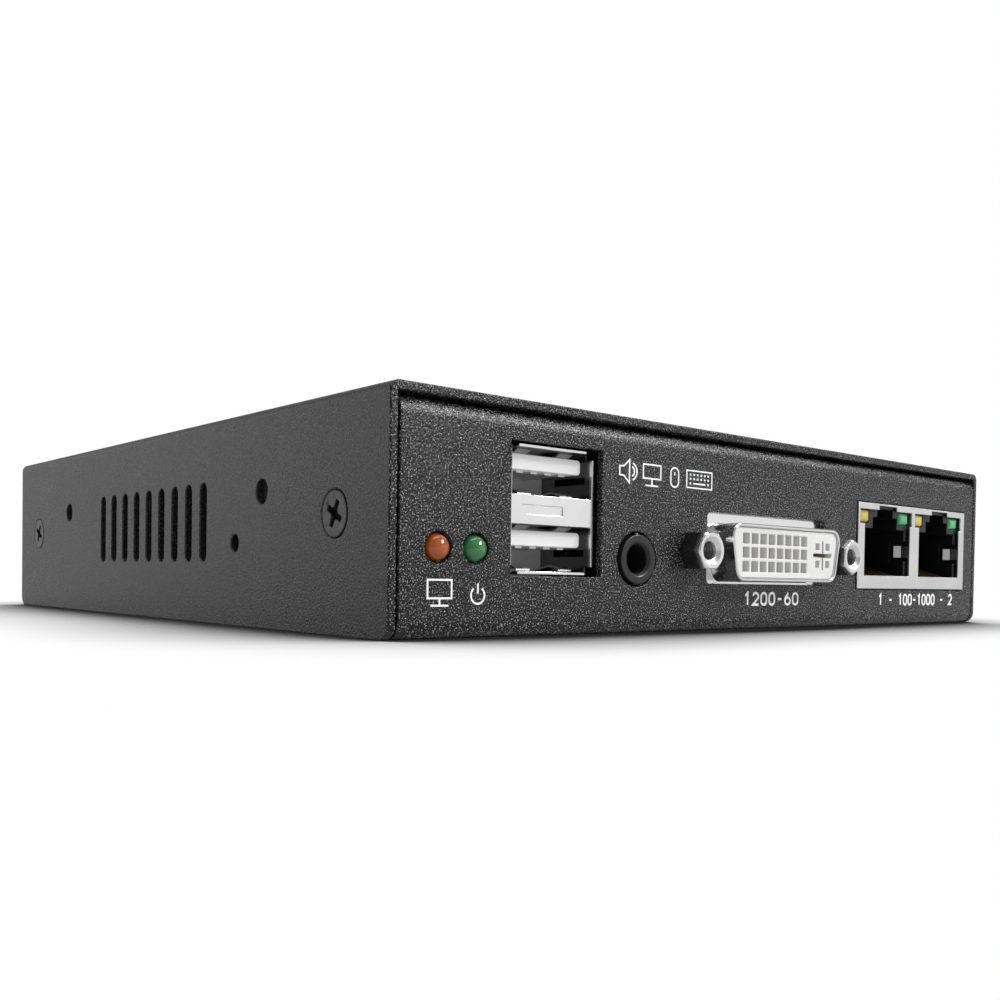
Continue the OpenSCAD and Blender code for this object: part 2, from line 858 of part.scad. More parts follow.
// Moulded block behind the sockets, with a tongue in each
module usb_insulator() {
    back = usb_recess + usb_port_depth;
    color(white_plastic)
        at_front(usb_x)
            difference() {
                union() {
                    block(usb_inner_w - 2 * fit_gap, back + fit_gap, usb_recess + usb_depth,
                        0, usb_lift + usb_h - usb_wall - fit_gap);
                    for (level = [0, 1])
                        translate([0, 0, tongue_low(level) + tongue_t / 2])
                            stand(usb_recess + tongue_recess, back + over)
                                rounded_rect(tongue_w, tongue_t, tongue_corner_r);
                }
                for (level = [0, 1], i = [0 : usb_contact_count - 1])
                    translate([usb_contact_x(i), 0, 0])
                        block(usb_contact_w + 2 * fit_gap, back - over, usb_recess + usb_depth + over,
                            tongue_low(level) - blade_t - fit_gap, tongue_low(level) + fit_gap);
            }
}

// Contact blades under the tongues, running back and down to the board
module usb_contacts() {
    back = usb_recess + usb_depth;
    tip = usb_recess + tongue_recess + usb_contact_w;
    color(gold)
        at_front(usb_x)
            for (level = [0, 1], i = [0 : usb_contact_count - 1])
                translate([usb_contact_x(i), 0, 0]) {
                    tail = back + fit_gap + level * (blade_t + usb_contact_w);
                    block(usb_contact_w, tip, tail + blade_t,
                        tongue_low(level) - blade_t, tongue_low(level));
                    block(usb_contact_w, tail, tail + blade_t, 0, tongue_low(level));
                }
}

// Moulded body of a 3.5 mm jack with its round nose
module jack_body() {
    color(black_plastic)
        difference() {
            union() {
                translate([0, 0, jack_rise])
                    bar(jack_nose_r, -jack_proud, sheet + over);
                block(jack_w, sheet + fit_gap, sheet + jack_depth, 0, jack_rise + jack_back_h);
            }
            translate([0, 0, jack_rise]) {
                bar(jack_bore_r, -jack_proud - over, sheet + jack_depth - over);
                taper(jack_bore_r + jack_chamfer, jack_bore_r, -jack_proud, -jack_proud + jack_chamfer);
            }
            jack_slots();
        }
}

// Repeats a piece at both sides of a jack's bore, the second one further back
module at_jack_sides() {
    for (s = [0, 1])
        mirror([s, 0, 0])
            translate([0, sheet + jack_slot_inset + s * jack_slot_step, 0])
                children();
}

// Slots in a jack's body that let its springs reach the bore
module jack_slots() {
    at_jack_sides()
        translate([0, 0, jack_rise - jack_slot_w / 2])
            cube([jack_w, jack_slot_len, jack_slot_w]);
}

// Contact springs beside a jack's bore, with a leg each to the board
module jack_springs() {
    spring_w = jack_slot_w - 2 * fit_gap;
    color(gold)
        at_jack_sides()
            translate([0, fit_gap, 0]) {
                translate([jack_bore_r, 0, jack_rise - spring_w / 2])
                    cube([jack_w / 2 - jack_bore_r + jack_spring_t + fit_gap, jack_spring_t, spring_w]);
                translate([jack_bore_r, 0, jack_rise - spring_w / 2])
                    cube([jack_spring_t, jack_slot_len - 2 * fit_gap, spring_w]);
                translate([jack_w / 2 + fit_gap, 0, 0])
                    cube([jack_spring_t, jack_spring_t, jack_rise + spring_w / 2]);
            }
}

// Outline of the shell of a DVI port, drawn in by a gap: round corners on straight sides,
// narrower below than above
module dvi_outline(gap) {
    r = dvi_corner_r - gap;
    top_x = dvi_top_w / 2 - dvi_corner_r;
    low_x = dvi_bottom_w / 2 - dvi_corner_r;
    mid_z = dvi_h / 2 - dvi_corner_r;
    run = norm([top_x - low_x, 2 * mid_z]);
    nx = r * 2 * mid_z / run;
    nz = -r * (top_x - low_x) / run;
    for (s = [-1, 1]) {
        translate([s * top_x, mid_z])
            circle(r, $fn = round_fn);
        translate([s * low_x, -mid_z])
            circle(r, $fn = round_fn);
    }
    polygon([
        [-top_x, mid_z + r], [top_x, mid_z + r],
        [top_x + nx, mid_z + nz], [low_x + nx, -mid_z + nz],
        [low_x, -mid_z - r], [-low_x, -mid_z - r],
        [-low_x - nx, -mid_z + nz], [-top_x - nx, mid_z + nz]
    ]);
}

// Drawn metal shell of a DVI port, with a flange behind the panel and threaded inserts in it
module dvi_shell() {
    color(steel)
        translate([0, 0, dvi_rise])
            difference() {
                union() {
                    stand(-dvi_proud, sheet + flange_t)
                        dvi_outline(0);
                    stand(sheet, sheet + flange_t)
                        rounded_rect(flange_w, flange_h, flange_corner_r);
                    for (s = [-1, 1])
                        translate([s * dvi_screw_span / 2, 0, 0])
                            bar(insert_r, sheet, sheet + flange_t + insert_h);
                }
                stand(-dvi_proud - over, sheet + flange_t + over)
                    dvi_outline(dvi_wall);
                for (s = [-1, 1])
                    translate([s * dvi_screw_span / 2, 0, 0])
                        bar(stud_r + bore_gap, -over, sheet + flange_t + insert_h + over);
            }
}

// Place of a column and of a row of contacts from the port's axis
function dvi_column_x(i) = dvi_grid_shift + (i - (dvi_columns - 1) / 2) * dvi_pitch;
function dvi_row_z(i) = (i - (dvi_rows - 1) / 2) * dvi_pitch;

// Repeats a piece at the grid of contact holes, and passes on the row
module at_dvi_grid() {
    for (i = [0 : dvi_columns - 1], j = [0 : dvi_rows - 1])
        translate([dvi_column_x(i), 0, dvi_row_z(j)]) {
            $row = j;
            children();
        }
}

// Repeats a piece at the four holes round the cross, and passes on the row
module at_dvi_cross() {
    for (sx = [-1, 1], j = [0, 1])
        translate([dvi_cross_shift + sx * dvi_cross_hole_pitch / 2, 0, (j - 0.5) * dvi_cross_hole_pitch]) {
            $row = j;
            children();
        }
}

// Moulded insulator of a DVI port: the face in the shell and the body behind the flange
module dvi_insulator() {
    back = sheet + flange_t + dvi_depth;
    color(white_plastic)
        translate([0, 0, dvi_rise])
            difference() {
                union() {
                    stand(-dvi_proud + dvi_face_recess, sheet + flange_t + over)
                        dvi_outline(dvi_wall + fit_gap);
                    block(dvi_body_w, sheet + flange_t, back, -dvi_rise, dvi_body_rise);
                }
                at_dvi_grid()
                    block(dvi_hole_w, -dvi_proud - over, back + over, -dvi_hole_w / 2, dvi_hole_w / 2);
                at_dvi_cross()
                    block(dvi_cross_hole_w, -dvi_proud - over, back + over,
                        -dvi_cross_hole_w / 2, dvi_cross_hole_w / 2);
                translate([dvi_cross_shift, 0, 0])
                    block(dvi_blade_w, -dvi_proud - over, back + over, -dvi_blade_gap / 2, dvi_blade_gap / 2);
            }
}

// One contact of a DVI port, running back and down to the board, each row further back
module dvi_contact(hole_w, z) {
    back = sheet + flange_t + dvi_depth + (z + dvi_rise) / 2;
    block(dvi_contact_w, -dvi_proud + dvi_contact_recess, back, -hole_w / 2, -hole_w / 2 + blade_t);
    block(dvi_contact_w, back, back + blade_t, -z - dvi_rise, -hole_w / 2 + blade_t);
}

// Contacts of a DVI port
module dvi_contacts() {
    color(gold)
        translate([0, 0, dvi_rise]) {
            at_dvi_grid()
                dvi_contact(dvi_hole_w, dvi_row_z($row));
            at_dvi_cross()
                dvi_contact(dvi_cross_hole_w, ($row - 0.5) * dvi_cross_hole_pitch);
            translate([dvi_cross_shift, 0, 0])
                block(dvi_blade_w - 2 * fit_gap, -dvi_proud + dvi_contact_recess,
                    sheet + flange_t + dvi_depth, -dvi_blade_gap / 2, -dvi_blade_gap / 2 + blade_t);
        }
}

// Hex screws beside a DVI port, each with a female thread and a stud through the flange
module dvi_hex_screws() {
    color(steel)
        for (s = [-1, 1])
            translate([s * dvi_screw_span / 2, 0, dvi_rise])
                difference() {
                    union() {
                        translate([0, -hex_proud, 0])
                            rotate([-90, s > 0 ? 90 : 0, 0])
                                cylinder(h = hex_proud, r = hex_flats / 2 / cos(30), $fn = 6);
                        bar(stud_r, 0, sheet + flange_t + stud_tail);
                    }
                    bar(bore_r, -hex_proud - over, -hex_proud + thread_depth);
                }
}

// Middle of a network socket, 0 for the left and 1 for the right
function socket_x(i) = (i - 0.5) * net_pitch;

// Middle of a port light from the middle of its socket, for the left (-1) or right (1) one
function light_x(side) = side * socket_w / 2 - net_light_offset;

// One window of the network shield, drawn in X and Z: wider beside the lights
module net_window() {
    translate([-net_window_w / 2, net_sill])
        square([net_window_w, net_h - net_lintel - net_sill]);
    translate([-net_window_w / 2 - net_light_notch - net_light_offset, net_light_rise - window_gap])
        square([net_window_w + 2 * net_light_notch, net_h - net_lintel - net_light_rise + window_gap]);
    translate([-net_latch_gap_w / 2, net_sill])
        square([net_latch_gap_w, net_h - net_wall - net_sill]);
}

// Spring tab folded into the right side of a network socket, its tip bent towards the plug
module net_tab() {
    block(net_wall, -net_proud, net_tab_len - net_proud, -net_tab_h / 2, net_tab_h / 2);
    translate([-net_wall / 2, net_tab_len - net_proud, 0])
        rotate([0, 0, net_tab_lean])
            translate([0, -net_wall * sin(net_tab_lean), -net_tab_h / 2])
                cube([net_wall, net_tab_tip, net_tab_h]);
}

// Shield round both network sockets, with a spring tab in each side of a socket
module network_shield() {
    color(steel)
        at_front(net_x) {
            difference() {
                block(net_w, -net_proud, net_depth - net_proud, 0, net_h);
                block(net_w - 2 * net_wall, net_wall - net_proud, net_depth - net_wall - net_proud,
                    -over, net_h - net_wall);
                for (i = [0, 1])
                    translate([socket_x(i), 0, 0])
                        stand(-net_proud - over, net_wall - net_proud + over)
                            net_window();
            }
            for (i = [0, 1], s = [0, 1])
                translate([socket_x(i), 0, net_tab_rise])
                    mirror([s, 0, 0])
                        translate([(net_window_w + net_wall) / 2, 0, 0])
                            net_tab();
        }
}

// Space of one network socket, drawn in X and Z: plug, then two steps for its latch
module socket_outline() {
    translate([-socket_w / 2, net_sill])
        square([socket_w, socket_h]);
    translate([-net_step_w / 2, net_sill])
        square([net_step_w, net_step_rise - net_sill]);
    translate([-net_latch_w / 2, net_sill])
        square([net_latch_w, net_latch_rise - net_sill]);
}

// Moulded housing inside the shield
module network_housing() {
    face = housing_recess - net_proud;
    side = net_wall + fit_gap;
    color(black_plastic)
        at_front(net_x)
            difference() {
                block(net_w - 2 * side, face, net_depth - net_proud - side, 0, net_h - side);
                for (i = [0, 1])
                    translate([socket_x(i), 0, 0]) {
                        stand(face - over, face + socket_depth)
                            socket_outline();
                        block(net_window_w + 2 * (net_wall + fit_gap), face - over, net_tab_len + net_tab_tip,
                            net_tab_rise - net_tab_notch_h / 2, net_tab_rise + net_tab_notch_h / 2);
                        for (s = [-1, 1])
                            translate([light_x(s), 0, 0])
                                block(net_light_w + 2 * fit_gap, face - over,
                                    face + net_light_depth + fit_gap, net_light_rise - fit_gap,
                                    net_light_rise + net_light_h + fit_gap);
                        for (k = [0 : net_contact_count - 1])
                            translate([net_contact_x(k), 0, 0])
                                block(net_contact_w + 2 * fit_gap, face + net_contact_clear,
                                    net_depth - net_proud - side + over,
                                    net_sill - blade_t - fit_gap, net_sill + fit_gap);
                    }
            }
}

// Place of a contact wire across a network socket
function net_contact_x(k) = (k - (net_contact_count - 1) / 2) * net_contact_pitch;

// Contact wires of the network sockets: flat along the floor, sprung up inside, down to the board
module network_contacts() {
    face = housing_recess - net_proud;
    start = face + net_contact_clear + fit_gap;
    lean = atan2(net_contact_h, socket_depth / 2);
    rear = net_depth - net_proud - 2 * net_wall - fit_gap - blade_t;
    color(gold)
        at_front(net_x)
            for (i = [0, 1], k = [0 : net_contact_count - 1])
                translate([socket_x(i) + net_contact_x(k), 0, 0]) {
                    block(net_contact_w, start, rear, net_sill - blade_t, net_sill);
                    translate([0, start, net_sill - blade_t])
                        rotate([lean, 0, 0])
                            block(net_contact_w, 0, socket_depth / 2, 0, blade_t);
                }
}

// Lenses of the port lights on one side of each network socket
module network_lights(side) {
    face = housing_recess - net_proud;
    at_front(net_x)
        for (i = [0, 1])
            translate([socket_x(i) + light_x(side), 0, 0])
                block(net_light_w, face - net_light_proud, face + net_light_depth,
                    net_light_rise, net_light_rise + net_light_h);
}

module network_yellow_lights() {
    color(light_yellow)
        network_lights(-1);
}

module network_green_lights() {
    color(light_green)
        network_lights(1);
}

// Domed light with its two leads bent down to the board
module light() {
    translate([0, 0, light_rise]) {
        translate([0, light_r - light_proud, 0])
            sphere(light_r, $fn = round_fn);
        bar(light_r, light_r - light_proud, light_back);
    }
    for (s = [-1, 1])
        translate([s * lead_spread, 0, 0]) {
            block(lead_w, light_back - over, sheet + holder_d + lead_w + fit_gap,
                light_rise - lead_w / 2, light_rise + lead_w / 2);
            block(lead_w, sheet + holder_d + fit_gap, sheet + holder_d + lead_w + fit_gap,
                0, light_rise + lead_w / 2);
        }
}

module screen_light() {
    color(light_orange)
        at_front(screen_light_x)
            light();
}

module power_light() {
    color(light_green)
        at_front(power_light_x)
            light();
}

// Moulded holders that carry the two lights on the board
module light_holders() {
    color(black_plastic)
        for (x = [screen_light_x, power_light_x])
            at_front(x)
                difference() {
                    block(holder_w, sheet + fit_gap, sheet + holder_d, 0, light_rise + holder_top);
                    translate([0, 0, light_rise])
                        bar(light_r + fit_gap, 0, light_back + fit_gap);
                    for (s = [-1, 1])
                        translate([s * lead_spread, 0, light_rise])
                            block(lead_w + 2 * fit_gap, light_back - over, sheet + holder_d + over,
                                -lead_w / 2 - fit_gap, lead_w / 2 + fit_gap);
                }
}

// Outline of the square socket's hole, its two upper corners cut off
module square_hole(gap) {
    w = square_hole_w / 2 + gap;
    h = square_hole_h / 2 + gap;
    polygon([
        [-w, -h], [w, -h], [w, h - square_chamfer],
        [w - square_chamfer, h], [-w + square_chamfer, h], [-w, h - square_chamfer]
    ]);
}

// Metal shell of the square socket
module square_socket_shell() {
    color(steel)
        at_rear(square_x)
            difference() {
                block(square_w, square_recess, square_recess + square_depth, 0, square_h);
                block(square_w - 2 * usb_wall, square_recess + usb_wall, square_recess + square_depth + over,
                    -over, square_h - usb_wall);
                translate([0, 0, square_h / 2])
                    stand(-over, sheet + over)
                        square_hole(usb_wall);
            }
}

// Moulded body of the square socket with its tongue
module square_socket_insulator() {
    front = square_recess + usb_wall + fit_gap;
    side = usb_wall + fit_gap;
    color(black_plastic)
        at_rear(square_x)
            difference() {
                union() {
                    difference() {
                        block(square_w - 2 * side, front, square_recess + square_depth, 0, square_h - side);
                        translate([0, 0, square_h / 2])
                            stand(front - over, front + square_hole_depth)
                                square_hole(0);
                    }
                    translate([0, 0, (square_h - square_tongue_h) / 2])
                        block(square_tongue_w, front + usb_contact_w, front + square_hole_depth + over,
                            0, square_tongue_h);
                }
                square_contact_places(fit_gap, front + square_hole_depth - over, square_depth + over);
            }
}

// Blades on both faces of the square socket's tongue, from y0 to y1
module square_contact_places(gap, y0, y1) {
    for (sx = [-1, 1], sz = [-1, 1])
        translate([sx * usb_contact_pitch / 2, 0, square_h / 2 + sz * (square_tongue_h + blade_t) / 2])
            block(usb_contact_w + 2 * gap, y0, y1, -blade_t / 2 - gap, blade_t / 2 + gap);
}

// Contacts of the square socket, with tails down to the board
module square_socket_contacts() {
    front = square_recess + usb_wall + fit_gap;
    tail = square_recess + square_depth + fit_gap;
    color(gold)
        at_rear(square_x) {
            square_contact_places(0, front + 2 * usb_contact_w, tail + blade_t);
            for (sx = [-1, 1])
                translate([sx * usb_contact_pitch / 2, 0, 0])
                    block(usb_contact_w, tail, tail + blade_t, 0, (square_h + square_tongue_h) / 2 + blade_t);
        }
}

// Moulded body of the power inlet, with the hole for a barrel plug
module power_inlet_body() {
    color(black_plastic)
        at_rear(inlet_x)
            difference() {
                block(inlet_w, 0, inlet_depth, 0, inlet_h);
                translate([0, 0, inlet_rise]) {
                    bar(inlet_hole_r, -over, inlet_hole_depth);
                    bar(inlet_pin_r + fit_gap, 0, inlet_depth + over);
                }
                power_inlet_spring_place(inlet_slot_gap);
            }
}

// Space of the power inlet's side spring
module power_inlet_spring_place(gap) {
    translate([0, 0, inlet_rise - inlet_hole_r])
        block(inlet_spring_w + 2 * gap, inlet_hole_depth / 2 - gap, inlet_depth - 2 * inlet_pin_r + gap,
            -jack_spring_t - gap, gap);
}

// Centre pin of the power inlet, with a tail down to the board
module power_inlet_pin() {
    color(steel)
        at_rear(inlet_x) {
            translate([0, 0, inlet_rise])
                bar(inlet_pin_r, inlet_pin_inset, inlet_depth + inlet_pin_r);
            block(2 * inlet_pin_r, inlet_depth + fit_gap, inlet_depth + inlet_pin_r, 0, inlet_rise);
        }
}

// Side spring of the power inlet
module power_inlet_spring() {
    color(steel)
        at_rear(inlet_x)
            power_inlet_spring_place(0);
}

// Housing of the reset switch, with a channel for the button
module reset_switch() {
    front = sheet + reset_room;
    color(black_plastic)
        at_rear(reset_x)
            difference() {
                block(reset_body_w, front, front + reset_body_d, 0, reset_body_h);
                translate([0, 0, reset_rise]) {
                    bar(reset_button_r + reset_running_gap, front - over, front + reset_body_d / 2);
                    block(reset_plate_w + 2 * reset_room, front + reset_plate_t, front + 3 * reset_plate_t
                        + reset_travel, -reset_plate_w / 2 - reset_room, reset_plate_w / 2 + reset_room);
                }
            }
}

// Reset button: a round plunger with a square plate that keeps it in the switch
module reset_button() {
    front = sheet + reset_room;
    color(black_plastic)
        at_rear(reset_x)
            translate([0, 0, reset_rise]) {
                bar(reset_button_r, reset_sink, front + 2 * reset_plate_t);
                block(reset_plate_w, front + reset_plate_t + reset_running_gap,
                    front + 2 * reset_plate_t + reset_running_gap, -reset_plate_w / 2, reset_plate_w / 2);
            }
}

// Flat chip standing on the board, at a place given in shares of the board
module chip(shares, size, t) {
    translate([shares.x * board_w - size.x / 2, shares.y * board_d - size.y / 2, board_top])
        cube([size.x, size.y, t]);
}

module processor() {
    color(chip_black)
        chip([0, 0], [processor_w, processor_w], processor_t);
}

module thermal_pad() {
    color(white_plastic)
        translate([0, 0, processor_t])
            chip([0, 0], [processor_w, processor_w], pad_t);
}

// Finned heat sink on the processor
module heat_sink() {
    base = board_top + processor_t + pad_t;
    step = (sink_w - fin_t) / (fin_count - 1);
    color(steel)
        translate([-sink_w / 2, -sink_w / 2, base]) {
            cube([sink_w, sink_w, sink_base]);
            for (i = [0 : fin_count - 1])
                translate([i * step, 0, 0])
                    cube([fin_t, sink_w, sink_h]);
        }
}

module memory_chips() {
    color(chip_black)
        for (shares = memory_shares)
            chip(shares, memory_size, chip_t);
}

module network_chips() {
    color(chip_black)
        for (shares = network_chip_shares)
            chip(shares, [network_chip_w, network_chip_w], chip_t);
}

module video_chips() {
    color(chip_black)
        for (shares = video_chip_shares)
            chip(shares, [video_chip_w, video_chip_w], chip_t);
}

module flash_chip() {
    color(chip_black)
        chip(flash_shares, flash_size, chip_t);
}

module clock_crystals() {
    color(steel)
        for (shares = crystal_shares)
            chip(shares, crystal_size, chip_t);
}

// Wound power coils in square cups
module power_coils() {
    color(chip_black)
        for (shares = coil_shares) {
            chip(shares, [coil_w, coil_w], coil_h / 2);
            translate([shares.x * board_w, shares.y * board_d, board_top])
                cylinder(h = coil_h, r = coil_r, $fn = round_fn);
        }
}

// Electrolytic capacitors on their square bases
module power_capacitors() {
    color(steel)
        for (shares = can_shares) {
            chip(shares, [2 * can_r, 2 * can_r], can_base_h);
            translate([shares.x * board_w, shares.y * board_d, board_top])
                cylinder(h = can_h, r = can_r, $fn = round_fn);
        }
}

module regulator_chips() {
    color(chip_black)
        for (shares = regulator_shares)
            chip(shares, regulator_size, processor_t);
}

// The jacks and ports that the front and rear panels share
module front_jack_body() { at_front(jack_x) jack_body(); }
module front_jack_springs() { at_front(jack_x) jack_springs(); }
module rear_jack_body() { at_rear(rear_jack_x) jack_body(); }
module rear_jack_springs() { at_rear(rear_jack_x) jack_springs(); }
module console_dvi_shell() { at_front(dvi_x) dvi_shell(); }
module console_dvi_insulator() { at_front(dvi_x) dvi_insulator(); }
module console_dvi_contacts() { at_front(dvi_x) dvi_contacts(); }
module console_dvi_hex_screws() { at_front(dvi_x) dvi_hex_screws(); }
module rear_dvi_shell() { at_rear(rear_dvi_x) dvi_shell(); }
module rear_dvi_insulator() { at_rear(rear_dvi_x) dvi_insulator(); }
module rear_dvi_contacts() { at_rear(rear_dvi_x) dvi_contacts(); }
module rear_dvi_hex_screws() { at_rear(rear_dvi_x) dvi_hex_screws(); }

base_tray();
top_cover();
cover_screws();
tab_nuts();
bracket_nuts();
main_board();
board_standoffs();
board_screws();
usb_shell();
usb_insulator();
usb_contacts();
front_jack_body();
front_jack_springs();
console_dvi_shell();
console_dvi_insulator();
console_dvi_contacts();
console_dvi_hex_screws();
network_shield();
network_housing();
network_contacts();
network_yellow_lights();
network_green_lights();
screen_light();
power_light();
light_holders();
rear_dvi_shell();
rear_dvi_insulator();
rear_dvi_contacts();
rear_dvi_hex_screws();
square_socket_shell();
square_socket_insulator();
square_socket_contacts();
rear_jack_body();
rear_jack_springs();
power_inlet_body();
power_inlet_pin();
power_inlet_spring();
reset_switch();
reset_button();
processor();
thermal_pad();
heat_sink();
memory_chips();
network_chips();
video_chips();
flash_chip();
clock_crystals();
power_coils();
power_capacitors();
regulator_chips();
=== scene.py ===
import json
import math
import bpy
import bmesh
from mathutils import Matrix, Vector


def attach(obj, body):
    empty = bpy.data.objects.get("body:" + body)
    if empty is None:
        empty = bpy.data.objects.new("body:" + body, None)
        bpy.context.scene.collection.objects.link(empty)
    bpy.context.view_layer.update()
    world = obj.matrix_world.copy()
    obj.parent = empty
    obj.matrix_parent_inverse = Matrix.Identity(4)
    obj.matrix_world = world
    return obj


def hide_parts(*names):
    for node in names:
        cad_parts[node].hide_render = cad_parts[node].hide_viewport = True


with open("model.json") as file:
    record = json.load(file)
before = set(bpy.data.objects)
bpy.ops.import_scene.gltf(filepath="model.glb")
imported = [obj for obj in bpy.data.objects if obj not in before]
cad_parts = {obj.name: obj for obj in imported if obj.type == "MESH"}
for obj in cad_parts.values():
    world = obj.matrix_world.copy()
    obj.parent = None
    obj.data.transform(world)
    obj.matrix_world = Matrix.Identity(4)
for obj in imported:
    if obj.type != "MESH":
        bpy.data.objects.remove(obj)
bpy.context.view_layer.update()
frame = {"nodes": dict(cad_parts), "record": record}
nodes = frame["nodes"]
MM = 0.001
CASE = "case"
X, Y, Z = 0, 1, 2


def extent(node):
    """Lowest and highest corner of a CAD node, in mm."""
    points = [v.co for v in nodes[node].data.vertices]
    return [tuple(round(pick(p[i] for p in points) / MM, 4) for i in (X, Y, Z)) for pick in (min, max)]


def middle(node, index):
    """Middle of a CAD node along one axis, in mm."""
    lo, hi = extent(node)
    return (lo[index] + hi[index]) / 2


# Places of the CAD, in mm
CASE_LO, CASE_HI = extent("top_cover")
W, D, H = (hi - lo for lo, hi in zip(CASE_LO, CASE_HI))
LEFT, FRONT, REAR = CASE_LO[X], CASE_LO[Y], CASE_HI[Y]
BOARD_TOP = extent("main_board")[1][Z]
USB_X = middle("usb_shell", X)
DVI_Z = middle("console_dvi_shell", Z)
FACE_Y = extent("console_dvi_insulator")[0][Y]
# Each DVI port: its name, its X, its panel's Y, and the direction into the case
DVI_PORTS = (("console", middle("console_dvi_shell", X), FRONT, 1),
             ("rear", middle("rear_dvi_shell", X), REAR, -1))

# Input and output sockets of the color mix node
MIX_A, MIX_B, MIX_RESULT = 6, 7, 2
# Band of a noise that a tone or a gloss is spread over
NOISE_LOW, NOISE_HIGH = 0.3, 0.7


# Shader helpers

def material(name):
    """A new material: the material, its node tree and its shader."""
    mat = bpy.data.materials.new(name)
    mat.use_nodes = True
    tree = mat.node_tree
    tree.nodes.clear()
    out = tree.nodes.new("ShaderNodeOutputMaterial")
    shader = tree.nodes.new("ShaderNodeBsdfPrincipled")
    tree.links.new(shader.outputs[0], out.inputs[0])
    return mat, tree, shader


def coords(tree, stretch=(1, 1, 1)):
    """Places on the part, stretched along the axes."""
    source = tree.nodes.new("ShaderNodeTexCoord")
    mapping = tree.nodes.new("ShaderNodeMapping")
    mapping.inputs["Scale"].default_value = stretch
    tree.links.new(source.outputs["Object"], mapping.inputs[0])
    return mapping.outputs[0]


def noise(tree, vector, scale, detail, rough):
    node = tree.nodes.new("ShaderNodeTexNoise")
    node.inputs["Scale"].default_value = scale
    node.inputs["Detail"].default_value = detail
    node.inputs["Roughness"].default_value = rough
    tree.links.new(vector, node.inputs["Vector"])
    return node.outputs[0]


def remap(tree, value, low, high, to_low, to_high):
    node = tree.nodes.new("ShaderNodeMapRange")
    node.inputs["From Min"].default_value = low
    node.inputs["From Max"].default_value = high
    node.inputs["To Min"].default_value = to_low
    node.inputs["To Max"].default_value = to_high
    tree.links.new(value, node.inputs[0])
    return node.outputs[0]


def spread(tree, value, to_low, to_high):
    """Spreads the middle band of a noise over a range."""
    return remap(tree, value, NOISE_LOW, NOISE_HIGH, to_low, to_high)


def mix(tree, factor, a, b):
    """Mixes the color a, a constant or a socket, with the constant color b."""
    node = tree.nodes.new("ShaderNodeMix")
    node.data_type = "RGBA"
    tree.links.new(factor, node.inputs[0])
    if isinstance(a, tuple):
        node.inputs[MIX_A].default_value = (*a, 1)
    else:
        tree.links.new(a, node.inputs[MIX_A])
    node.inputs[MIX_B].default_value = (*b, 1)
    return node.outputs[MIX_RESULT]


def bump(tree, height, distance, strength=1.0, before=None):
    """Relief of a height in metres, on top of another relief if one is given."""
    node = tree.nodes.new("ShaderNodeBump")
    node.inputs["Strength"].default_value = strength
    node.inputs["Distance"].default_value = distance
    tree.links.new(height, node.inputs["Height"])
    if before is not None:
        tree.links.new(before, node.inputs["Normal"])
    return node.outputs[0]


def far(tree, index, start, end):
    """Rises from 0 to 1 while the distance from the origin along an axis goes from start to end, in mm."""
    split = tree.nodes.new("ShaderNodeSeparateXYZ")
    tree.links.new(coords(tree), split.inputs[0])
    away = tree.nodes.new("ShaderNodeMath")
    away.operation = "ABSOLUTE"
    tree.links.new(split.outputs[index], away.inputs[0])
    low, high = sorted((start, end))
    return remap(tree, away.outputs[0], low * MM, high * MM, float(start > end), float(start < end))


def both(tree, a, b):
    """The product of two masks."""
    node = tree.nodes.new("ShaderNodeMath")
    node.operation = "MULTIPLY"
    tree.links.new(a, node.inputs[0])
    tree.links.new(b, node.inputs[1])
    return node.outputs[0]


def shaded_deeper(tree, tone, depth_shade):
    """Paints shade deeper in a hollow: blends a tone into a darker one over a stretch of depth, given as its
    start, its end and that darker tone.
    """
    start, end, shade_tone = depth_shade
    return mix(tree, far(tree, Y, D / 2 - start, D / 2 - end), tone, shade_tone)


# Materials

# Noise scales of the powder coat: its pebbles, its grain, and its dots of painted glint
PEBBLES, GRAIN, GLINT_SPECKS = 3600, 7500, 5400
# Band of the noise in which the dots of painted glint show
GLINT_LOW, GLINT_HIGH = 0.57, 0.7
# Height of the grain, as a share of the pebbles'
GRAIN_SHARE = 0.3
# How much of the painted glint the side walls lose, as less painted light falls on them than on the panels
WALL_GLINT_FADE_SHARE = 0.8
# Where the side walls' mask starts and where it is full, in mm from the sides, the ends and the top
WALL_DEPTH = (2.6, 2.4)
WALL_END = (0.15, 0.3)
WALL_TOP = (0.1, 0.6)


def wall_mask(tree):
    """1 on the side walls, 0 on the panels, the top and the edges of the walls."""
    side = far(tree, X, W / 2 - WALL_DEPTH[0], W / 2 - WALL_DEPTH[1])
    length = far(tree, Y, D / 2 - WALL_END[0], D / 2 - WALL_END[1])
    height = far(tree, Z, H - WALL_TOP[0], H - WALL_TOP[1])
    return both(tree, side, both(tree, length, height))


def powder_coat(name, dark, light, depth, plain):
    """Textured coat: pebbles with a finer grain on them, and dots of painted glint that are fainter on the
    side walls.
    """
    mat, tree, shader = material(name)
    vector = coords(tree)
    pebbles = noise(tree, vector, PEBBLES, 2, 0.65)
    grain = noise(tree, vector, GRAIN, 1.5, 0.5)
    glint_specks = noise(tree, vector, GLINT_SPECKS, 1, 0.5)
    relief = bump(tree, grain, depth * GRAIN_SHARE, before=bump(tree, pebbles, depth))
    tree.links.new(relief, shader.inputs["Normal"])
    tone = mix(tree, remap(tree, glint_specks, GLINT_LOW, GLINT_HIGH, 0, 1), dark, light)
    glint_fade = remap(tree, wall_mask(tree), 0, 1, 0, WALL_GLINT_FADE_SHARE)
    tree.links.new(mix(tree, glint_fade, tone, plain), shader.inputs["Base Color"])
    tree.links.new(spread(tree, pebbles, 0.18, 0.3), shader.inputs["Roughness"])
    shader.inputs["Specular IOR Level"].default_value = 0.44
    return mat


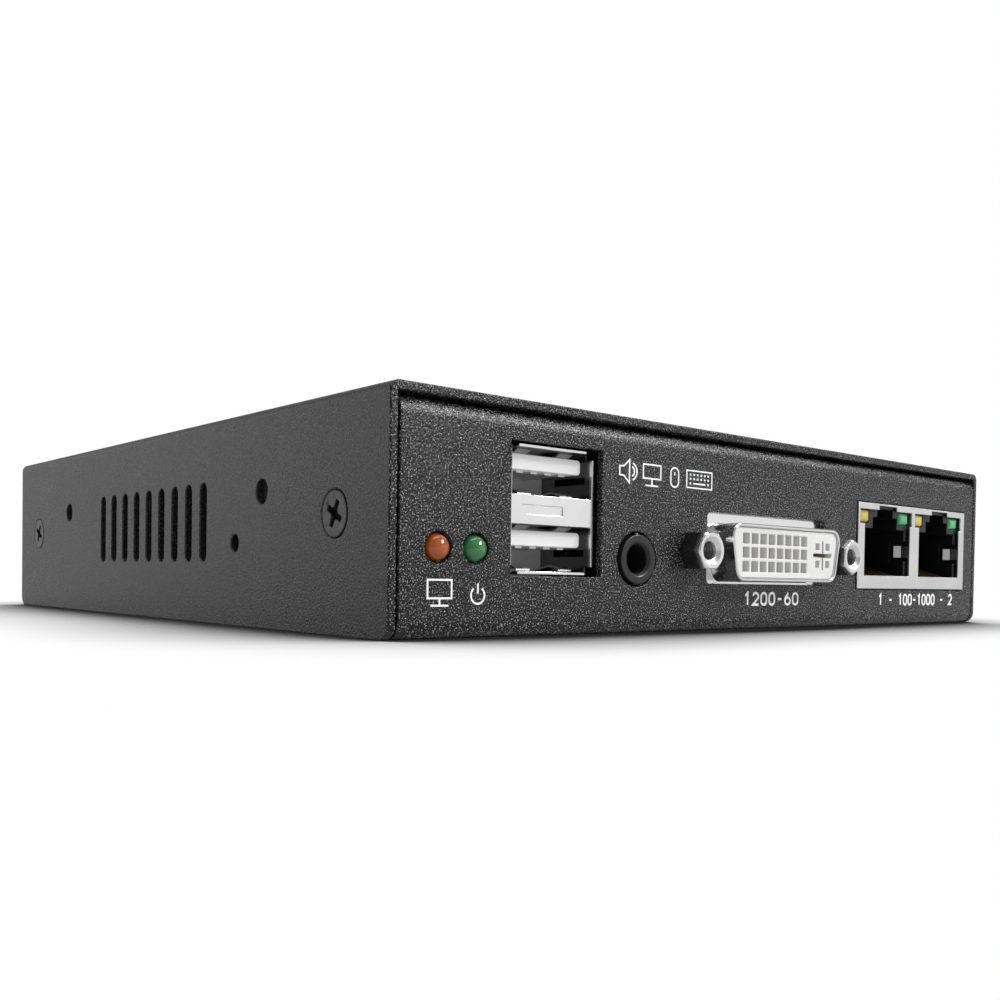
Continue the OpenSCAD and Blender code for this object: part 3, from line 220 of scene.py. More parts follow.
def metal(name, color, rough, brush=(1, 1, 1), grain=900, depth=2e-6, spots=0.06, depth_shade=None):
    """Plated metal: soft brushing, slight clouding of tone and gloss, and perhaps painted shade that deepens
    towards the back of a hollow.
    """
    mat, tree, shader = material(name)
    fine = noise(tree, coords(tree, brush), grain, 4, 0.6)
    cloud = noise(tree, coords(tree), 250, 3, 0.5)
    shade = tuple(c * (1 - spots) for c in color)
    tone = mix(tree, spread(tree, cloud, 0, 1), shade, color)
    if depth_shade:
        tone = shaded_deeper(tree, tone, depth_shade)
    tree.links.new(tone, shader.inputs["Base Color"])
    tree.links.new(spread(tree, cloud, rough * 0.8, rough * 1.25), shader.inputs["Roughness"])
    tree.links.new(bump(tree, fine, depth, 0.6), shader.inputs["Normal"])
    shader.inputs["Metallic"].default_value = 1.0
    return mat


def plastic(name, color, rough, grain=1800, depth=3e-6, tint=0.08, glow=0.0, depth_shade=None):
    """Moulded plastic: faint eroded skin, slight drift of tone, perhaps a painted glow, and perhaps painted
    shade that deepens towards the back of a hollow.
    """
    mat, tree, shader = material(name)
    skin = noise(tree, coords(tree), grain, 3, 0.55)
    cloud = noise(tree, coords(tree), 180, 2, 0.5)
    shade = tuple(c * (1 - tint) for c in color)
    tone = mix(tree, spread(tree, cloud, 0, 1), shade, color)
    if depth_shade:
        tone = shaded_deeper(tree, tone, depth_shade)
    tree.links.new(tone, shader.inputs["Base Color"])
    tree.links.new(tone, shader.inputs["Emission Color"])
    shader.inputs["Emission Strength"].default_value = glow
    tree.links.new(spread(tree, skin, rough * 0.85, rough * 1.15), shader.inputs["Roughness"])
    tree.links.new(bump(tree, skin, depth, 0.5), shader.inputs["Normal"])
    return mat


def lens(name, core, edge, glow, rough):
    """Glossy tinted resin whose tone turns from the middle to the rim with the viewing angle: a painted rim
    shade, which is paler than the middle on the green port lights.
    """
    mat, tree, shader = material(name)
    cloud = noise(tree, coords(tree), 700, 2, 0.5)
    facing = tree.nodes.new("ShaderNodeLayerWeight")
    facing.inputs["Blend"].default_value = 0.42
    tree.links.new(mix(tree, facing.outputs["Facing"], core, edge), shader.inputs["Base Color"])
    tree.links.new(spread(tree, cloud, rough * 0.7, rough * 1.3), shader.inputs["Roughness"])
    shader.inputs["Subsurface Weight"].default_value = 0.35
    shader.inputs["Subsurface Scale"].default_value = 0.0008
    shader.inputs["Subsurface Radius"].default_value = (1, 1, 1)
    shader.inputs["Coat Weight"].default_value = 1.0
    shader.inputs["Coat Roughness"].default_value = 0.04
    shader.inputs["Emission Color"].default_value = (*core, 1)
    shader.inputs["Emission Strength"].default_value = glow
    return mat


def board_material(name, mask, track):
    """Green solder mask with paler tracks standing out a little."""
    mat, tree, shader = material(name)
    cells = tree.nodes.new("ShaderNodeTexVoronoi")
    cells.feature = "DISTANCE_TO_EDGE"
    cells.distance = "MANHATTAN"
    cells.inputs["Scale"].default_value = 320
    tree.links.new(coords(tree), cells.inputs["Vector"])
    line = remap(tree, cells.outputs["Distance"], 0.05, 0.09, 1, 0)
    tree.links.new(mix(tree, line, mask, track), shader.inputs["Base Color"])
    tree.links.new(bump(tree, line, 2e-5, 0.6), shader.inputs["Normal"])
    shader.inputs["Roughness"].default_value = 0.32
    return mat


# In each coat the light tone is the colour of its dots of painted glint; the plain tone is the side walls'
# coat with most of the painted glint taken off
COAT = powder_coat("powder_coat", dark=(0.004, 0.004, 0.0042), light=(0.44, 0.44, 0.445), depth=1.0e-4,
                   plain=(0.02, 0.02, 0.0203))
SCREW = powder_coat("black_screw", dark=(0.014, 0.014, 0.015), light=(0.024, 0.024, 0.025), depth=0.3e-4,
                    plain=(0.018, 0.018, 0.019))
PLATED = metal("bright_plate", (0.9, 0.9, 0.9), 0.14, grain=1200, depth=1.5e-6, spots=0.05)
# The plate gets painted shade from 1.15 mm to 1.5 mm into the mouths
SHELL = metal("usb_plate", (0.95, 0.95, 0.95), 0.22, brush=(1, 0.1, 1), grain=2600, depth=3e-6, spots=0.08,
              depth_shade=(1.15, 1.5, (0.2, 0.2, 0.2)))
SPRING = metal("spring_plate", (0.62, 0.62, 0.62), 0.25, brush=(1, 0.1, 1), grain=2600, depth=3e-6,
               spots=0.08)
TIN = metal("tin_plate", (0.8, 0.8, 0.8), 0.34, brush=(0.2, 1, 1), grain=2600, depth=3e-6, spots=0.07)
# The hex screws get painted shade in their bores
HEX = metal("hex_nickel", (0.9, 0.9, 0.9), 0.24, depth_shade=(-2.85, -2.3, (0.16, 0.16, 0.16)))
ZINC = metal("zinc", (0.6, 0.6, 0.61), 0.38)
# Gold darkened far below its own tone: painted shade for contacts that sit deep in the sockets
GOLD_IN_SHADE = metal("gold_plate", (0.36, 0.25, 0.09), 0.3)
SINK = metal("sink_aluminium", (0.55, 0.56, 0.58), 0.42, brush=(1, 0.05, 1), grain=1800, depth=4e-6)
CAN = metal("can_aluminium", (0.78, 0.78, 0.8), 0.3)
WHITE = plastic("white_insulator", (0.9, 0.9, 0.89), 0.4, tint=0.03)
# The tongues have a painted glow, and painted shade from 4 mm to 7 mm into the mouths
TONGUE = plastic("white_tongue", (0.95, 0.95, 0.95), 0.4, tint=0.02, glow=0.12,
                 depth_shade=(4.0, 7.0, (0.4, 0.4, 0.4)))
BLACK = plastic("black_insulator", (0.008, 0.008, 0.009), 0.42)
JACK = plastic("jack_plastic", (0.018, 0.018, 0.019), 0.36, grain=2600, depth=5e-6)
CHIP = plastic("chip_body", (0.012, 0.012, 0.013), 0.55, grain=5200, depth=1e-5)
PAD = plastic("thermal_pad", (0.42, 0.44, 0.5), 0.7, grain=900, depth=2e-5)
PAINTED_GROOVE_SHADE = plastic("groove_shade", (0.2, 0.2, 0.2), 0.6)
# The print has a painted glow that brightens its white
PRINT = plastic("white_print", (0.93, 0.93, 0.93), 0.5, grain=4200, depth=4e-6, tint=0.04, glow=0.25)
BOARD = board_material("circuit_board", mask=(0.008, 0.085, 0.035), track=(0.03, 0.2, 0.09))
ORANGE = lens("orange_lens", core=(0.5, 0.1, 0.004), edge=(0.2, 0.035, 0.004), glow=0.05, rough=0.12)
GREEN = lens("green_lens", core=(0.04, 0.24, 0.07), edge=(0.03, 0.13, 0.05), glow=0.05, rough=0.12)
PORT_YELLOW = lens("port_yellow", core=(0.6, 0.5, 0.05), edge=(0.5, 0.42, 0.1), glow=0.1, rough=0.18)
PORT_GREEN = lens("port_green", core=(0.04, 0.4, 0.13), edge=(0.1, 0.4, 0.2), glow=0.1, rough=0.18)

SLOTS = {n["node"]: n["material_slot"] for n in frame["record"]["subparts"]}
BY_SLOT = {
    "coated_sheet": COAT, "screw_black": SCREW, "plated_steel": PLATED, "nickel_steel": TIN,
    "zinc": ZINC, "gold_contact": GOLD_IN_SHADE, "white_insulator": WHITE, "black_insulator": BLACK,
    "jack_plastic": JACK, "orange_lens": ORANGE, "green_lens": GREEN, "port_yellow": PORT_YELLOW,
    "port_green": PORT_GREEN, "circuit_board": BOARD, "chip_body": CHIP, "pad_grey": PAD,
    "sink_aluminium": SINK, "can_aluminium": CAN, "reset_plastic": BLACK,
}
for name, node_object in nodes.items():
    node_object.data.materials.clear()
    node_object.data.materials.append(BY_SLOT[SLOTS[name]])


# Mesh helpers, in mm

# Edges sharper than this, in degrees, stay sharp and are rounded on dressed nodes
SHARP = 32
# Corners closer than this are one
WELD = 0.002
# Triangles within these angles, in degrees, are joined into one face
FLAT_ANGLE, SHAPE_ANGLE = 0.4, 60
NORMAL_WEIGHT = 80


def piece(name, bm, mat, body=CASE, replaces=(), smooth=None):
    """Turns a mesh in mm into an object on a body. Edges of less than smooth degrees are shaded round."""
    mesh = bpy.data.meshes.new(name)
    bmesh.ops.recalc_face_normals(bm, faces=bm.faces)
    bm.transform(Matrix.Scale(MM, 4))
    bm.to_mesh(mesh)
    bm.free()
    mesh.materials.append(mat)
    if smooth is not None:
        mesh.shade_smooth()
        mesh.set_sharp_from_angle(angle=math.radians(smooth))
    obj = bpy.data.objects.new(name, mesh)
    bpy.context.scene.collection.objects.link(obj)
    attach(obj, body)
    if replaces:
        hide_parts(*replaces)
    return obj


def stand_in(node, bm, mat, smooth):
    """Turns a mesh in mm into the piece that stands for a CAD node of the case."""
    piece("look_" + node, bm, mat, replaces=(node,), smooth=smooth)


def dressed(node, width, mat=None, segments=2, body=CASE):
    """A copy of a CAD node with clean faces and small rounded edges, which stands for the node."""
    bm = bmesh.new()
    bm.from_mesh(nodes[node].data)
    bm.transform(Matrix.Scale(1 / MM, 4))
    bmesh.ops.remove_doubles(bm, verts=bm.verts, dist=WELD)
    bmesh.ops.join_triangles(bm, faces=bm.faces, angle_face_threshold=math.radians(FLAT_ANGLE),
                             angle_shape_threshold=math.radians(SHAPE_ANGLE))
    obj = piece("look_" + node, bm, mat or BY_SLOT[SLOTS[node]], body, (node,), SHARP)
    bevel = obj.modifiers.new("edges", "BEVEL")
    bevel.width = width * MM
    bevel.segments = segments
    bevel.limit_method = "ANGLE"
    bevel.angle_limit = math.radians(SHARP)
    bevel.use_clamp_overlap = False
    bevel.loop_slide = False
    bevel.miter_outer = "MITER_ARC"
    weighted = obj.modifiers.new("normals", "WEIGHTED_NORMAL")
    weighted.keep_sharp = True
    weighted.weight = NORMAL_WEIGHT


def bridge(bm, loops):
    """Joins each loop of corners to the next with a band of faces."""
    for a, b in zip(loops, loops[1:]):
        for k in range(len(a)):
            n = (k + 1) % len(a)
            bm.faces.new((a[k], a[n], b[n], b[k]))


def turned_loop(bm, centre, depth, inward, sides, turn, radius):
    """Loop of corners round an axis along Y. radius is a function of the angle."""
    loop = []
    for k in range(sides):
        a = turn + 2 * math.pi * k / sides
        r = radius(a)
        loop.append(bm.verts.new((centre[X] + r * math.cos(a), centre[Y] + inward * depth,
                                  centre[Z] + r * math.sin(a))))
    return loop


def ring(bm, profile, centre, sides, turn=0.0, inward=1):
    """Turns a profile of (radius, depth) round an axis along Y; inward is 1 in front and -1 at the rear."""
    loops = [turned_loop(bm, centre, depth, inward, sides, turn, lambda a: r) for r, depth in profile]
    bridge(bm, loops)
    return loops


def box(bm, lo, hi):
    """Adds a box between two corners."""
    corners = [bm.verts.new((x, y, z))
               for x in (lo[X], hi[X]) for y in (lo[Y], hi[Y]) for z in (lo[Z], hi[Z])]
    for face in ((0, 1, 3, 2), (4, 6, 7, 5), (0, 4, 5, 1), (2, 3, 7, 6), (0, 2, 6, 4), (1, 5, 7, 3)):
        bm.faces.new([corners[i] for i in face])


def strip(bm, points, width, thickness, x):
    """A bent metal strip along points of (y, z), with its middle at x."""
    rows = []
    for i, (y, z) in enumerate(points):
        before = Vector(points[max(i - 1, 0)])
        after = Vector(points[min(i + 1, len(points) - 1)])
        along = (after - before).normalized()
        off = Vector((-along.y, along.x)) * thickness / 2
        rows.append([bm.verts.new((x + s * width / 2, y + k * off.x, z + k * off.y))
                     for s, k in ((-1, 1), (-1, -1), (1, -1), (1, 1))])
    bridge(bm, rows)
    bm.faces.new(rows[0])
    bm.faces.new(rows[-1])


# Case, screws and board: each node with the width of its rounded edges

for name, edge in (("base_tray", 0.12), ("top_cover", 0.16), ("cover_screws", 0.09), ("heat_sink", 0.12),
                   ("processor", 0.12), ("memory_chips", 0.1), ("network_chips", 0.1), ("video_chips", 0.1),
                   ("flash_chip", 0.1), ("regulator_chips", 0.12), ("clock_crystals", 0.15),
                   ("main_board", 0.05), ("thermal_pad", 0.06)):
    dressed(name, edge)


# USB pair

# Floors of the two mouths over the board, and their height
USB_FLOORS = (1.55, 10.4)
USB_MOUTH_H = 5.45
# Springs: distance from the middle of the mouth, width, and outlines of (depth, height) with their thickness
USB_SPRING_X = 3.3
USB_SPRING_W = 2.1
LOWER_SPRING = ((8.2, -0.1), (6.6, 0.25), (4.8, 0.62), (3.9, 0.72), (3.1, 0.55), (2.4, 0.2))
LOWER_SPRING_T = 0.22
UPPER_SPRING = ((8.2, 0.1), (6.6, -0.15), (4.8, -0.42), (3.9, -0.48), (3.1, -0.3), (2.5, 0.02))
UPPER_SPRING_T = 0.2

dressed("usb_shell", 0.05, SHELL)
dressed("usb_insulator", 0.14, TONGUE, 3)

bm = bmesh.new()
for floor in USB_FLOORS:
    low = BOARD_TOP + floor
    for side in (-1, 1):
        for outline, base, thickness in ((LOWER_SPRING, low, LOWER_SPRING_T),
                                         (UPPER_SPRING, low + USB_MOUTH_H, UPPER_SPRING_T)):
            path = [(FRONT + depth, base + height) for depth, height in outline]
            strip(bm, path, USB_SPRING_W, thickness, USB_X + side * USB_SPRING_X)
piece("usb_springs", bm, SPRING, smooth=40)


# 3.5 mm jacks

dressed("front_jack_body", 0.12, JACK, 3)
dressed("rear_jack_body", 0.12, JACK, 3)


# DVI ports

# Hex jackscrews: distance from the port's middle, half the width over flats, and depth of the face
HEX_X = 16.65
HEX_R = 4.75 / 2
HEX_CORNER = HEX_R / math.cos(math.pi / 6)
HEX_FACE = -3.3
HEX_SIDES = 48
# Chamfer: (behind the face, off the corner); mouth: (radius, behind the face)
HEX_CHAMFER = ((0.42, 0.0), (0.16, 0.16), (0.0, 0.42))
HEX_MOUTH = ((1.85, 0.02), (1.74, 0.1), (1.45, 0.42))
# Threads: bore and stud, each with its radii, start and end, and the last loops of (radius, depth)
THREAD_PITCH = 0.5
BORE_CREST, BORE_ROOT = 1.26, 1.46
BORE_START, BORE_END = HEX_FACE + 0.5, 2.0
BORE_CREST_FLAT, BORE_ROOT_FLAT = 0.08, 0.04
BORE_FLOOR = [(BORE_CREST, 2.15), (0.2, 2.2)]
STUD_CREST, STUD_ROOT = 1.58, 1.32
STUD_START, STUD_END = 0.05, 4.5
STUD_ROOT_AT, STUD_CREST_AT = 0.2, 0.4
STUD_TIP = [(1.3, 4.78)]
# Grey strip of painted shade that stands for the upright groove between the cross holes: offset, width, and
# lower and upper end from the middle
GROOVE_X = 8.5
GROOVE_W = 0.28
GROOVE_Z = (0.32, 2.1)
GROOVE_PROUD, GROOVE_SUNK = 0.02, 0.05

for port in ("console", "rear"):
    dressed(port + "_dvi_shell", 0.16, PLATED, 3)
    dressed(port + "_dvi_insulator", 0.06)


def thread_starts(start, end):
    """Depth at which each turn of a thread starts."""
    return [start + i * THREAD_PITCH for i in range(math.ceil((end - start) / THREAD_PITCH))]


def bore_profile():
    """Countersunk mouth, thread ridges and floor of the bore."""
    profile = [(r, HEX_FACE + behind) for r, behind in HEX_MOUTH]
    for depth in thread_starts(BORE_START, BORE_END):
        root = depth + THREAD_PITCH / 2
        profile += [(BORE_CREST, depth), (BORE_CREST, depth + BORE_CREST_FLAT),
                    (BORE_ROOT, root - BORE_ROOT_FLAT / 2), (BORE_ROOT, root + BORE_ROOT_FLAT / 2)]
    return profile + BORE_FLOOR


def stud_profile():
    """Thread ridges and tip of the stud."""
    profile = [(STUD_CREST, 0.0)]
    for depth in thread_starts(STUD_START, STUD_END):
        profile += [(STUD_CREST, depth), (STUD_ROOT, depth + STUD_ROOT_AT),
                    (STUD_CREST, depth + STUD_CREST_AT)]
    return profile + STUD_TIP


def hex_screw(bm, centre, inward, turn):
    """Hex standoff with a chamfered face, a countersunk threaded bore and a threaded stud behind."""

    def hex_loop(depth, limit):
        def radius(a):
            return min(HEX_R / math.cos((a - turn) % (math.pi / 3) - math.pi / 6), limit)
        return turned_loop(bm, centre, depth, inward, HEX_SIDES, turn, radius)

    outer = [hex_loop(0.0, HEX_CORNER)]
    outer += [hex_loop(HEX_FACE + behind, HEX_CORNER - off) for behind, off in HEX_CHAMFER]
    bridge(bm, outer)
    bore = ring(bm, bore_profile(), centre, HEX_SIDES, turn, inward)
    bridge(bm, [outer[-1], bore[0]])
    bm.faces.new(bore[-1])
    stud = ring(bm, stud_profile(), centre, HEX_SIDES, turn, inward)
    bridge(bm, [outer[0], stud[0]])
    bm.faces.new(stud[-1])


for port, x, y, inward in DVI_PORTS:
    bm = bmesh.new()
    for side in (-1, 1):
        turn = 0.0 if side * inward < 0 else math.pi / 6
        hex_screw(bm, (x + side * HEX_X, y, DVI_Z), inward, turn)
    stand_in(port + "_dvi_hex_screws", bm, HEX, smooth=28)

# Each groove is drawn as a grey strip of painted shade on the insulator face
for port, x, y, inward in DVI_PORTS:
    face = inward * FACE_Y
    near, deep = sorted((face - inward * GROOVE_PROUD, face + inward * GROOVE_SUNK))
    low, high = GROOVE_Z
    groove_x = x + inward * GROOVE_X
    bm = bmesh.new()
    for bottom, top in ((-high, -low), (low, high)):
        box(bm, (groove_x - GROOVE_W / 2, near, DVI_Z + bottom),
            (groove_x + GROOVE_W / 2, deep, DVI_Z + top))
    piece(port + "_dvi_groove_shade", bm, PAINTED_GROOVE_SHADE)


# Network pair

# Port lights: size, place and shape
NET_X = middle("network_shield", X)
NET_HALF = 8.4
PORT_LIGHT_X, PORT_LIGHT_SHIFT = 6.0, -0.4
PORT_LIGHT_Z = middle("network_yellow_lights", Z)
PORT_LIGHT_W, PORT_LIGHT_H = 2.96, 2.06
PORT_LIGHT_Y = FRONT + 0.16
PORT_LIGHT_R, PORT_LIGHT_LEAST_R = 0.45, 0.08
PORT_LIGHT_CORNER_STEPS = 7
# Loops of the window: (off its outline, behind its middle), from its rear end to its domed front
PORT_LIGHT_LOOPS = ((0.0, 9.2), (0.0, 0.6), (0.05, 0.42), (0.17, 0.25), (0.36, 0.11), (0.6, 0.03),
                    (0.85, 0.0))

dressed("network_shield", 0.05, TIN)
dressed("network_housing", 0.08)


def window_outline(off):
    """Corners of a rounded window, drawn in by a distance."""
    r = max(PORT_LIGHT_R - off, PORT_LIGHT_LEAST_R)
    x = PORT_LIGHT_W / 2 - off - r
    z = PORT_LIGHT_H / 2 - off - r
    points = []
    for cx, cz, start in ((x, z, 0), (-x, z, 90), (-x, -z, 180), (x, -z, 270)):
        for i in range(PORT_LIGHT_CORNER_STEPS):
            a = math.radians(start + 90 * i / (PORT_LIGHT_CORNER_STEPS - 1))
            points.append((cx + r * math.cos(a), cz + r * math.sin(a)))
    return points


def port_lens(bm, x, z):
    """Rounded, slightly domed light window with its light pipe behind."""
    loops = [[bm.verts.new((x + px, PORT_LIGHT_Y + behind, z + pz)) for px, pz in window_outline(off)]
             for off, behind in PORT_LIGHT_LOOPS]
    bridge(bm, loops)
    bm.faces.new(loops[0])
    bm.faces.new(loops[-1])


for node, side, mat in (("network_yellow_lights", -1, PORT_YELLOW), ("network_green_lights", 1, PORT_GREEN)):
    bm = bmesh.new()
    for port in (-1, 1):
        port_lens(bm, NET_X + port * NET_HALF + side * PORT_LIGHT_X + PORT_LIGHT_SHIFT, PORT_LIGHT_Z)
    stand_in(node, bm, mat, smooth=40)


# Status lights

DOME_R = 1.5
DOME_TIP = -0.9
DOME_STEPS = 14
DOME_SIDES = 48
DOME_END = 5.0
DOME_CHAMFER = 0.2
# Radius of the small faces that close a turned shape
AXIS_R = 0.02
LIGHT_Z = extent("screen_light")[1][Z] - DOME_R
LEAD_X = 1.27
LEAD_HALF = 0.25
# Leads: start and end of the level stretch, and of the upright one
LEAD_LEVEL = (5.1, 7.5)
LEAD_UPRIGHT = (7.06, 7.54)
LEAD_TOP = 0.24


def dome(name, mat):
    """3 mm light: turned dome and body, and two square leads bent down to the board."""
    x = middle(name, X)
    profile = [(AXIS_R, DOME_TIP)]
    for i in range(1, DOME_STEPS + 1):
        a = math.radians(90 * i / DOME_STEPS)
        profile.append((DOME_R * math.sin(a), DOME_TIP + DOME_R * (1 - math.cos(a))))
    back = DOME_END + DOME_CHAMFER
    profile += [(DOME_R, DOME_END), (DOME_R - DOME_CHAMFER, back), (AXIS_R, back)]
    bm = bmesh.new()
    loops = ring(bm, profile, (x, FRONT, LIGHT_Z), DOME_SIDES)
    bm.faces.new(loops[0])
    bm.faces.new(loops[-1])
    stand_in(name, bm, mat, smooth=50)
    bm = bmesh.new()
    for side in (-1, 1):
        left, right = x + side * LEAD_X - LEAD_HALF, x + side * LEAD_X + LEAD_HALF
        box(bm, (left, FRONT + LEAD_LEVEL[0], LIGHT_Z - LEAD_HALF),
            (right, FRONT + LEAD_LEVEL[1], LIGHT_Z + LEAD_HALF))
        box(bm, (left, FRONT + LEAD_UPRIGHT[0], BOARD_TOP),
            (right, FRONT + LEAD_UPRIGHT[1], LIGHT_Z + LEAD_TOP))
    piece(name + "_leads", bm, ZINC)


dome("screen_light", ORANGE)
dome("power_light", GREEN)
dressed("light_holders", 0.12)


# Rear sockets

dressed("square_socket_shell", 0.05, SHELL)
dressed("square_socket_insulator", 0.08)
dressed("power_inlet_body", 0.15)
dressed("reset_switch", 0.1)
dressed("reset_button", 0.1, body="reset_button")


# Printed signs: X from the left of the case, Z from its underside

# How far the ink stands out of the panel and into it
INK, INK_SUNK = 0.045, 0.01
# A mitred corner never gets wider than the line divided by this
LEAST_MITRE = 0.35
# How far one line of a sign reaches into the next
OVERLAP = 0.02


def ribbon(bm, points, width, closed=False):
    """A flat printed line along points (x, z) on the front panel, as a thin closed solid."""
    points = [Vector((LEFT + x, z)) for x, z in points]
    count = len(points)
    rows = []
    for i, p in enumerate(points):
        normals = []
        if closed or i > 0:
            along = (p - points[i - 1]).normalized()
            normals.append(Vector((-along.y, along.x)))
        if closed or i < count - 1:
            along = (points[(i + 1) % count] - p).normalized()
            normals.append(Vector((-along.y, along.x)))
        if len(normals) == 1:
            off = normals[0] * width / 2
        else:
            mitre = (normals[0] + normals[1]).normalized()
            off = mitre * (width / 2 / max(LEAST_MITRE, mitre.dot(normals[0])))
        rows.append([bm.verts.new((p.x + s * off.x, y, p.y + s * off.y))
                     for s, y in ((1, FRONT - INK), (-1, FRONT - INK),
                                  (-1, FRONT + INK_SUNK), (1, FRONT + INK_SUNK))])
    if closed:
        bridge(bm, rows + rows[:1])
    else:
        bm.faces.new(rows[0])
        bm.faces.new(rows[-1])
        bridge(bm, rows)


def arc(centre, radii, start, end, steps):
    """Points on an arc round (x, z) with radii along X and Z, between two angles in degrees."""
    angles = [math.radians(start + (end - start) * i / steps) for i in range(steps + 1)]
    return [(centre[0] + radii[0] * math.cos(a), centre[1] + radii[1] * math.sin(a)) for a in angles]


def long_loop(x, low, high, radii, steps):
    """Points of an upright loop with two round ends, whose arcs have their middles at low and high."""
    return arc((x, high), radii, 0, 180, steps) + arc((x, low), radii, 180, 360, steps)


def rectangle(left, right, low, high):
    return [(left, low), (right, low), (right, high), (left, high)]


def print_sign(name, lines):
    """Prints lines of (points, width, closed) as one piece."""
    bm = bmesh.new()
    for points, width, closed in lines:
        ribbon(bm, points, width, closed)
    piece(name, bm, PRINT)


def screen_sign(name, left, right, low, high, base_z, base_w, line):
    """A screen on its foot."""
    x = (left + right) / 2
    half = line / 2
    print_sign(name, [
        (rectangle(left + half, right - half, low + half, high - half), line, True),
        ([(x, low + OVERLAP), (x, base_z + OVERLAP)], line, False),
        ([(x - base_w / 2, base_z), (x + base_w / 2, base_z)], line, False),
    ])


def power_sign(x, z, r, stem_top, stem_low, line):
    """A circle that is open at the top, with a stem in the gap."""
    print_sign("sign_power", [
        (arc((x, z), (r, r), 128, 412, 28), line, False),
        ([(x, stem_top), (x, stem_low)], line, False),
    ])


def sound_sign(horn, waves_x, waves_z, line):
    """A loudspeaker with two waves."""
    print_sign("sign_sound", [
        (horn, line, True),
        (arc((waves_x, waves_z), (0.72, 0.66), -62, 62, 12), line, False),
        (arc((waves_x, waves_z), (1.2, 1.12), -66, 66, 16), line, False),
    ])


def mouse_sign(x, low, high, radii, wheel_top, wheel_low, line):
    """A long rounded outline with a wheel."""
    print_sign("sign_mouse", [
        (long_loop(x, low, high, radii, 14), line, True),
        ([(x, wheel_top), (x, wheel_low)], line, False),
    ])


def keyboard_sign(left, right, low, high, key_x, key_pitch, key_rows, key_r, space, line, space_line):
    """A frame with square keys in rows: six in each, of which the last row keeps only the outer two."""
    lines = [(rectangle(left, right, low, high), line, True)]
    columns = range(6)
    for z in key_rows:
        kept = columns if z != key_rows[-1] else (columns[0], columns[-1])
        for column in kept:
            x = key_x + column * key_pitch
            lines.append(([(x - key_r, z), (x + key_r, z)], 2 * key_r, False))
    lines.append(([(x, key_rows[-1]) for x in space], space_line, False))
    print_sign("sign_keyboard", lines)


screen_sign("sign_screen", left=4.76, right=8.11, low=4.35, high=6.53, base_z=3.67, base_w=2.3, line=0.21)
power_sign(x=11.55, z=4.78, r=0.93, stem_top=6.08, stem_low=4.98, line=0.21)
sound_sign(horn=[(33.32, 20.85), (33.32, 19.75), (34.05, 19.7), (35.05, 18.85), (35.05, 21.72),
                 (34.05, 20.87)],
           waves_x=35.2, waves_z=20.3, line=0.19)
screen_sign("sign_console_screen", left=37.45, right=40.9, low=19.55, high=21.5, base_z=18.75, base_w=2.35,
            line=0.19)
mouse_sign(x=43.48, low=19.55, high=20.75, radii=(0.75, 0.65), wheel_top=20.85, wheel_low=20.4, line=0.19)
keyboard_sign(left=45.85, right=50.95, low=19.05, high=21.3, key_x=46.6, key_pitch=0.72,
              key_rows=(20.78, 20.22, 19.62), key_r=0.13, space=(47.2, 49.6), line=0.18, space_line=0.2)


# Plain numbers

# Radius of a digit's round strokes, and where the upper one has its middle
ROUND_SHARE = 0.31
UPPER_SHARE = 1 - ROUND_SHARE
# Strokes of (points, closed) in a cell that is 1 high
DIGITS = {
    "0": [(long_loop(ROUND_SHARE, ROUND_SHARE, UPPER_SHARE, (ROUND_SHARE, ROUND_SHARE), 10), True)],
    "1": [([(0.08, 0.78), (0.34, 1.0), (0.34, 0.0)], False)],
    "2": [(arc((ROUND_SHARE, UPPER_SHARE), (ROUND_SHARE, ROUND_SHARE), 165, -25, 12)
           + [(0.0, 0.0), (0.64, 0.0)], False)],
    "6": [(arc((ROUND_SHARE, ROUND_SHARE), (ROUND_SHARE, ROUND_SHARE), 0, 360, 20)[:-1], True),
          ([(0.0, ROUND_SHARE), (0.04, 0.6), (0.4, 1.0)], False)],
    "-": [([(0.08, 0.48), (0.5, 0.48)], False)],
    " ": [],
}
# Place and width of a digit, as shares of the pitch
INSET_SHARE, WIDTH_SHARE = 0.16, 1.06


def caption(name, text, left, right, low, height, line):
    """Plain numbers set in one line of even pitch."""
    pitch = (right - left) / len(text)
    lines = []
    for i, character in enumerate(text):
        for points, closed in DIGITS[character]:
            placed = [(left + (i + INSET_SHARE + x * WIDTH_SHARE) * pitch,
                       low + line / 2 + z * (height - line)) for x, z in points]
            lines.append((placed, line, closed))
    print_sign(name, lines)


caption("numbers_video", "1200-60", left=58.25, right=71.5, low=3.38, height=1.97, line=0.31)
caption("numbers_network", "1 - 100-1000 - 2", left=93.3, right=117.8, low=3.2, height=2.0, line=0.31)


# Stage

FLOOR_HALF = 6.0
FLOOR_Z = -0.00002
FLOOR_BOUNCE = 0.5
# Seen by the camera, the floor is white and carries a painted contact shadow where the case stands close to
# it
CONTACT_REACH = 0.036
CONTACT_SAMPLES = 24
CONTACT_BAND = (0.54, 0.95)
CONTACT_SHADE = (0.02, 1.0)
WORLD_LIGHT, WORLD_SEEN = 0.3, 1.0


def by_ray(tree, lit, seen, out):
    """Shows the second shader to the camera and the first one to all other rays."""
    path = tree.nodes.new("ShaderNodeLightPath")
    choose = tree.nodes.new("ShaderNodeMixShader")
    tree.links.new(path.outputs["Is Camera Ray"], choose.inputs[0])
    tree.links.new(lit.outputs[0], choose.inputs[1])
    tree.links.new(seen.outputs[0], choose.inputs[2])
    tree.links.new(choose.outputs[0], out.inputs[0])


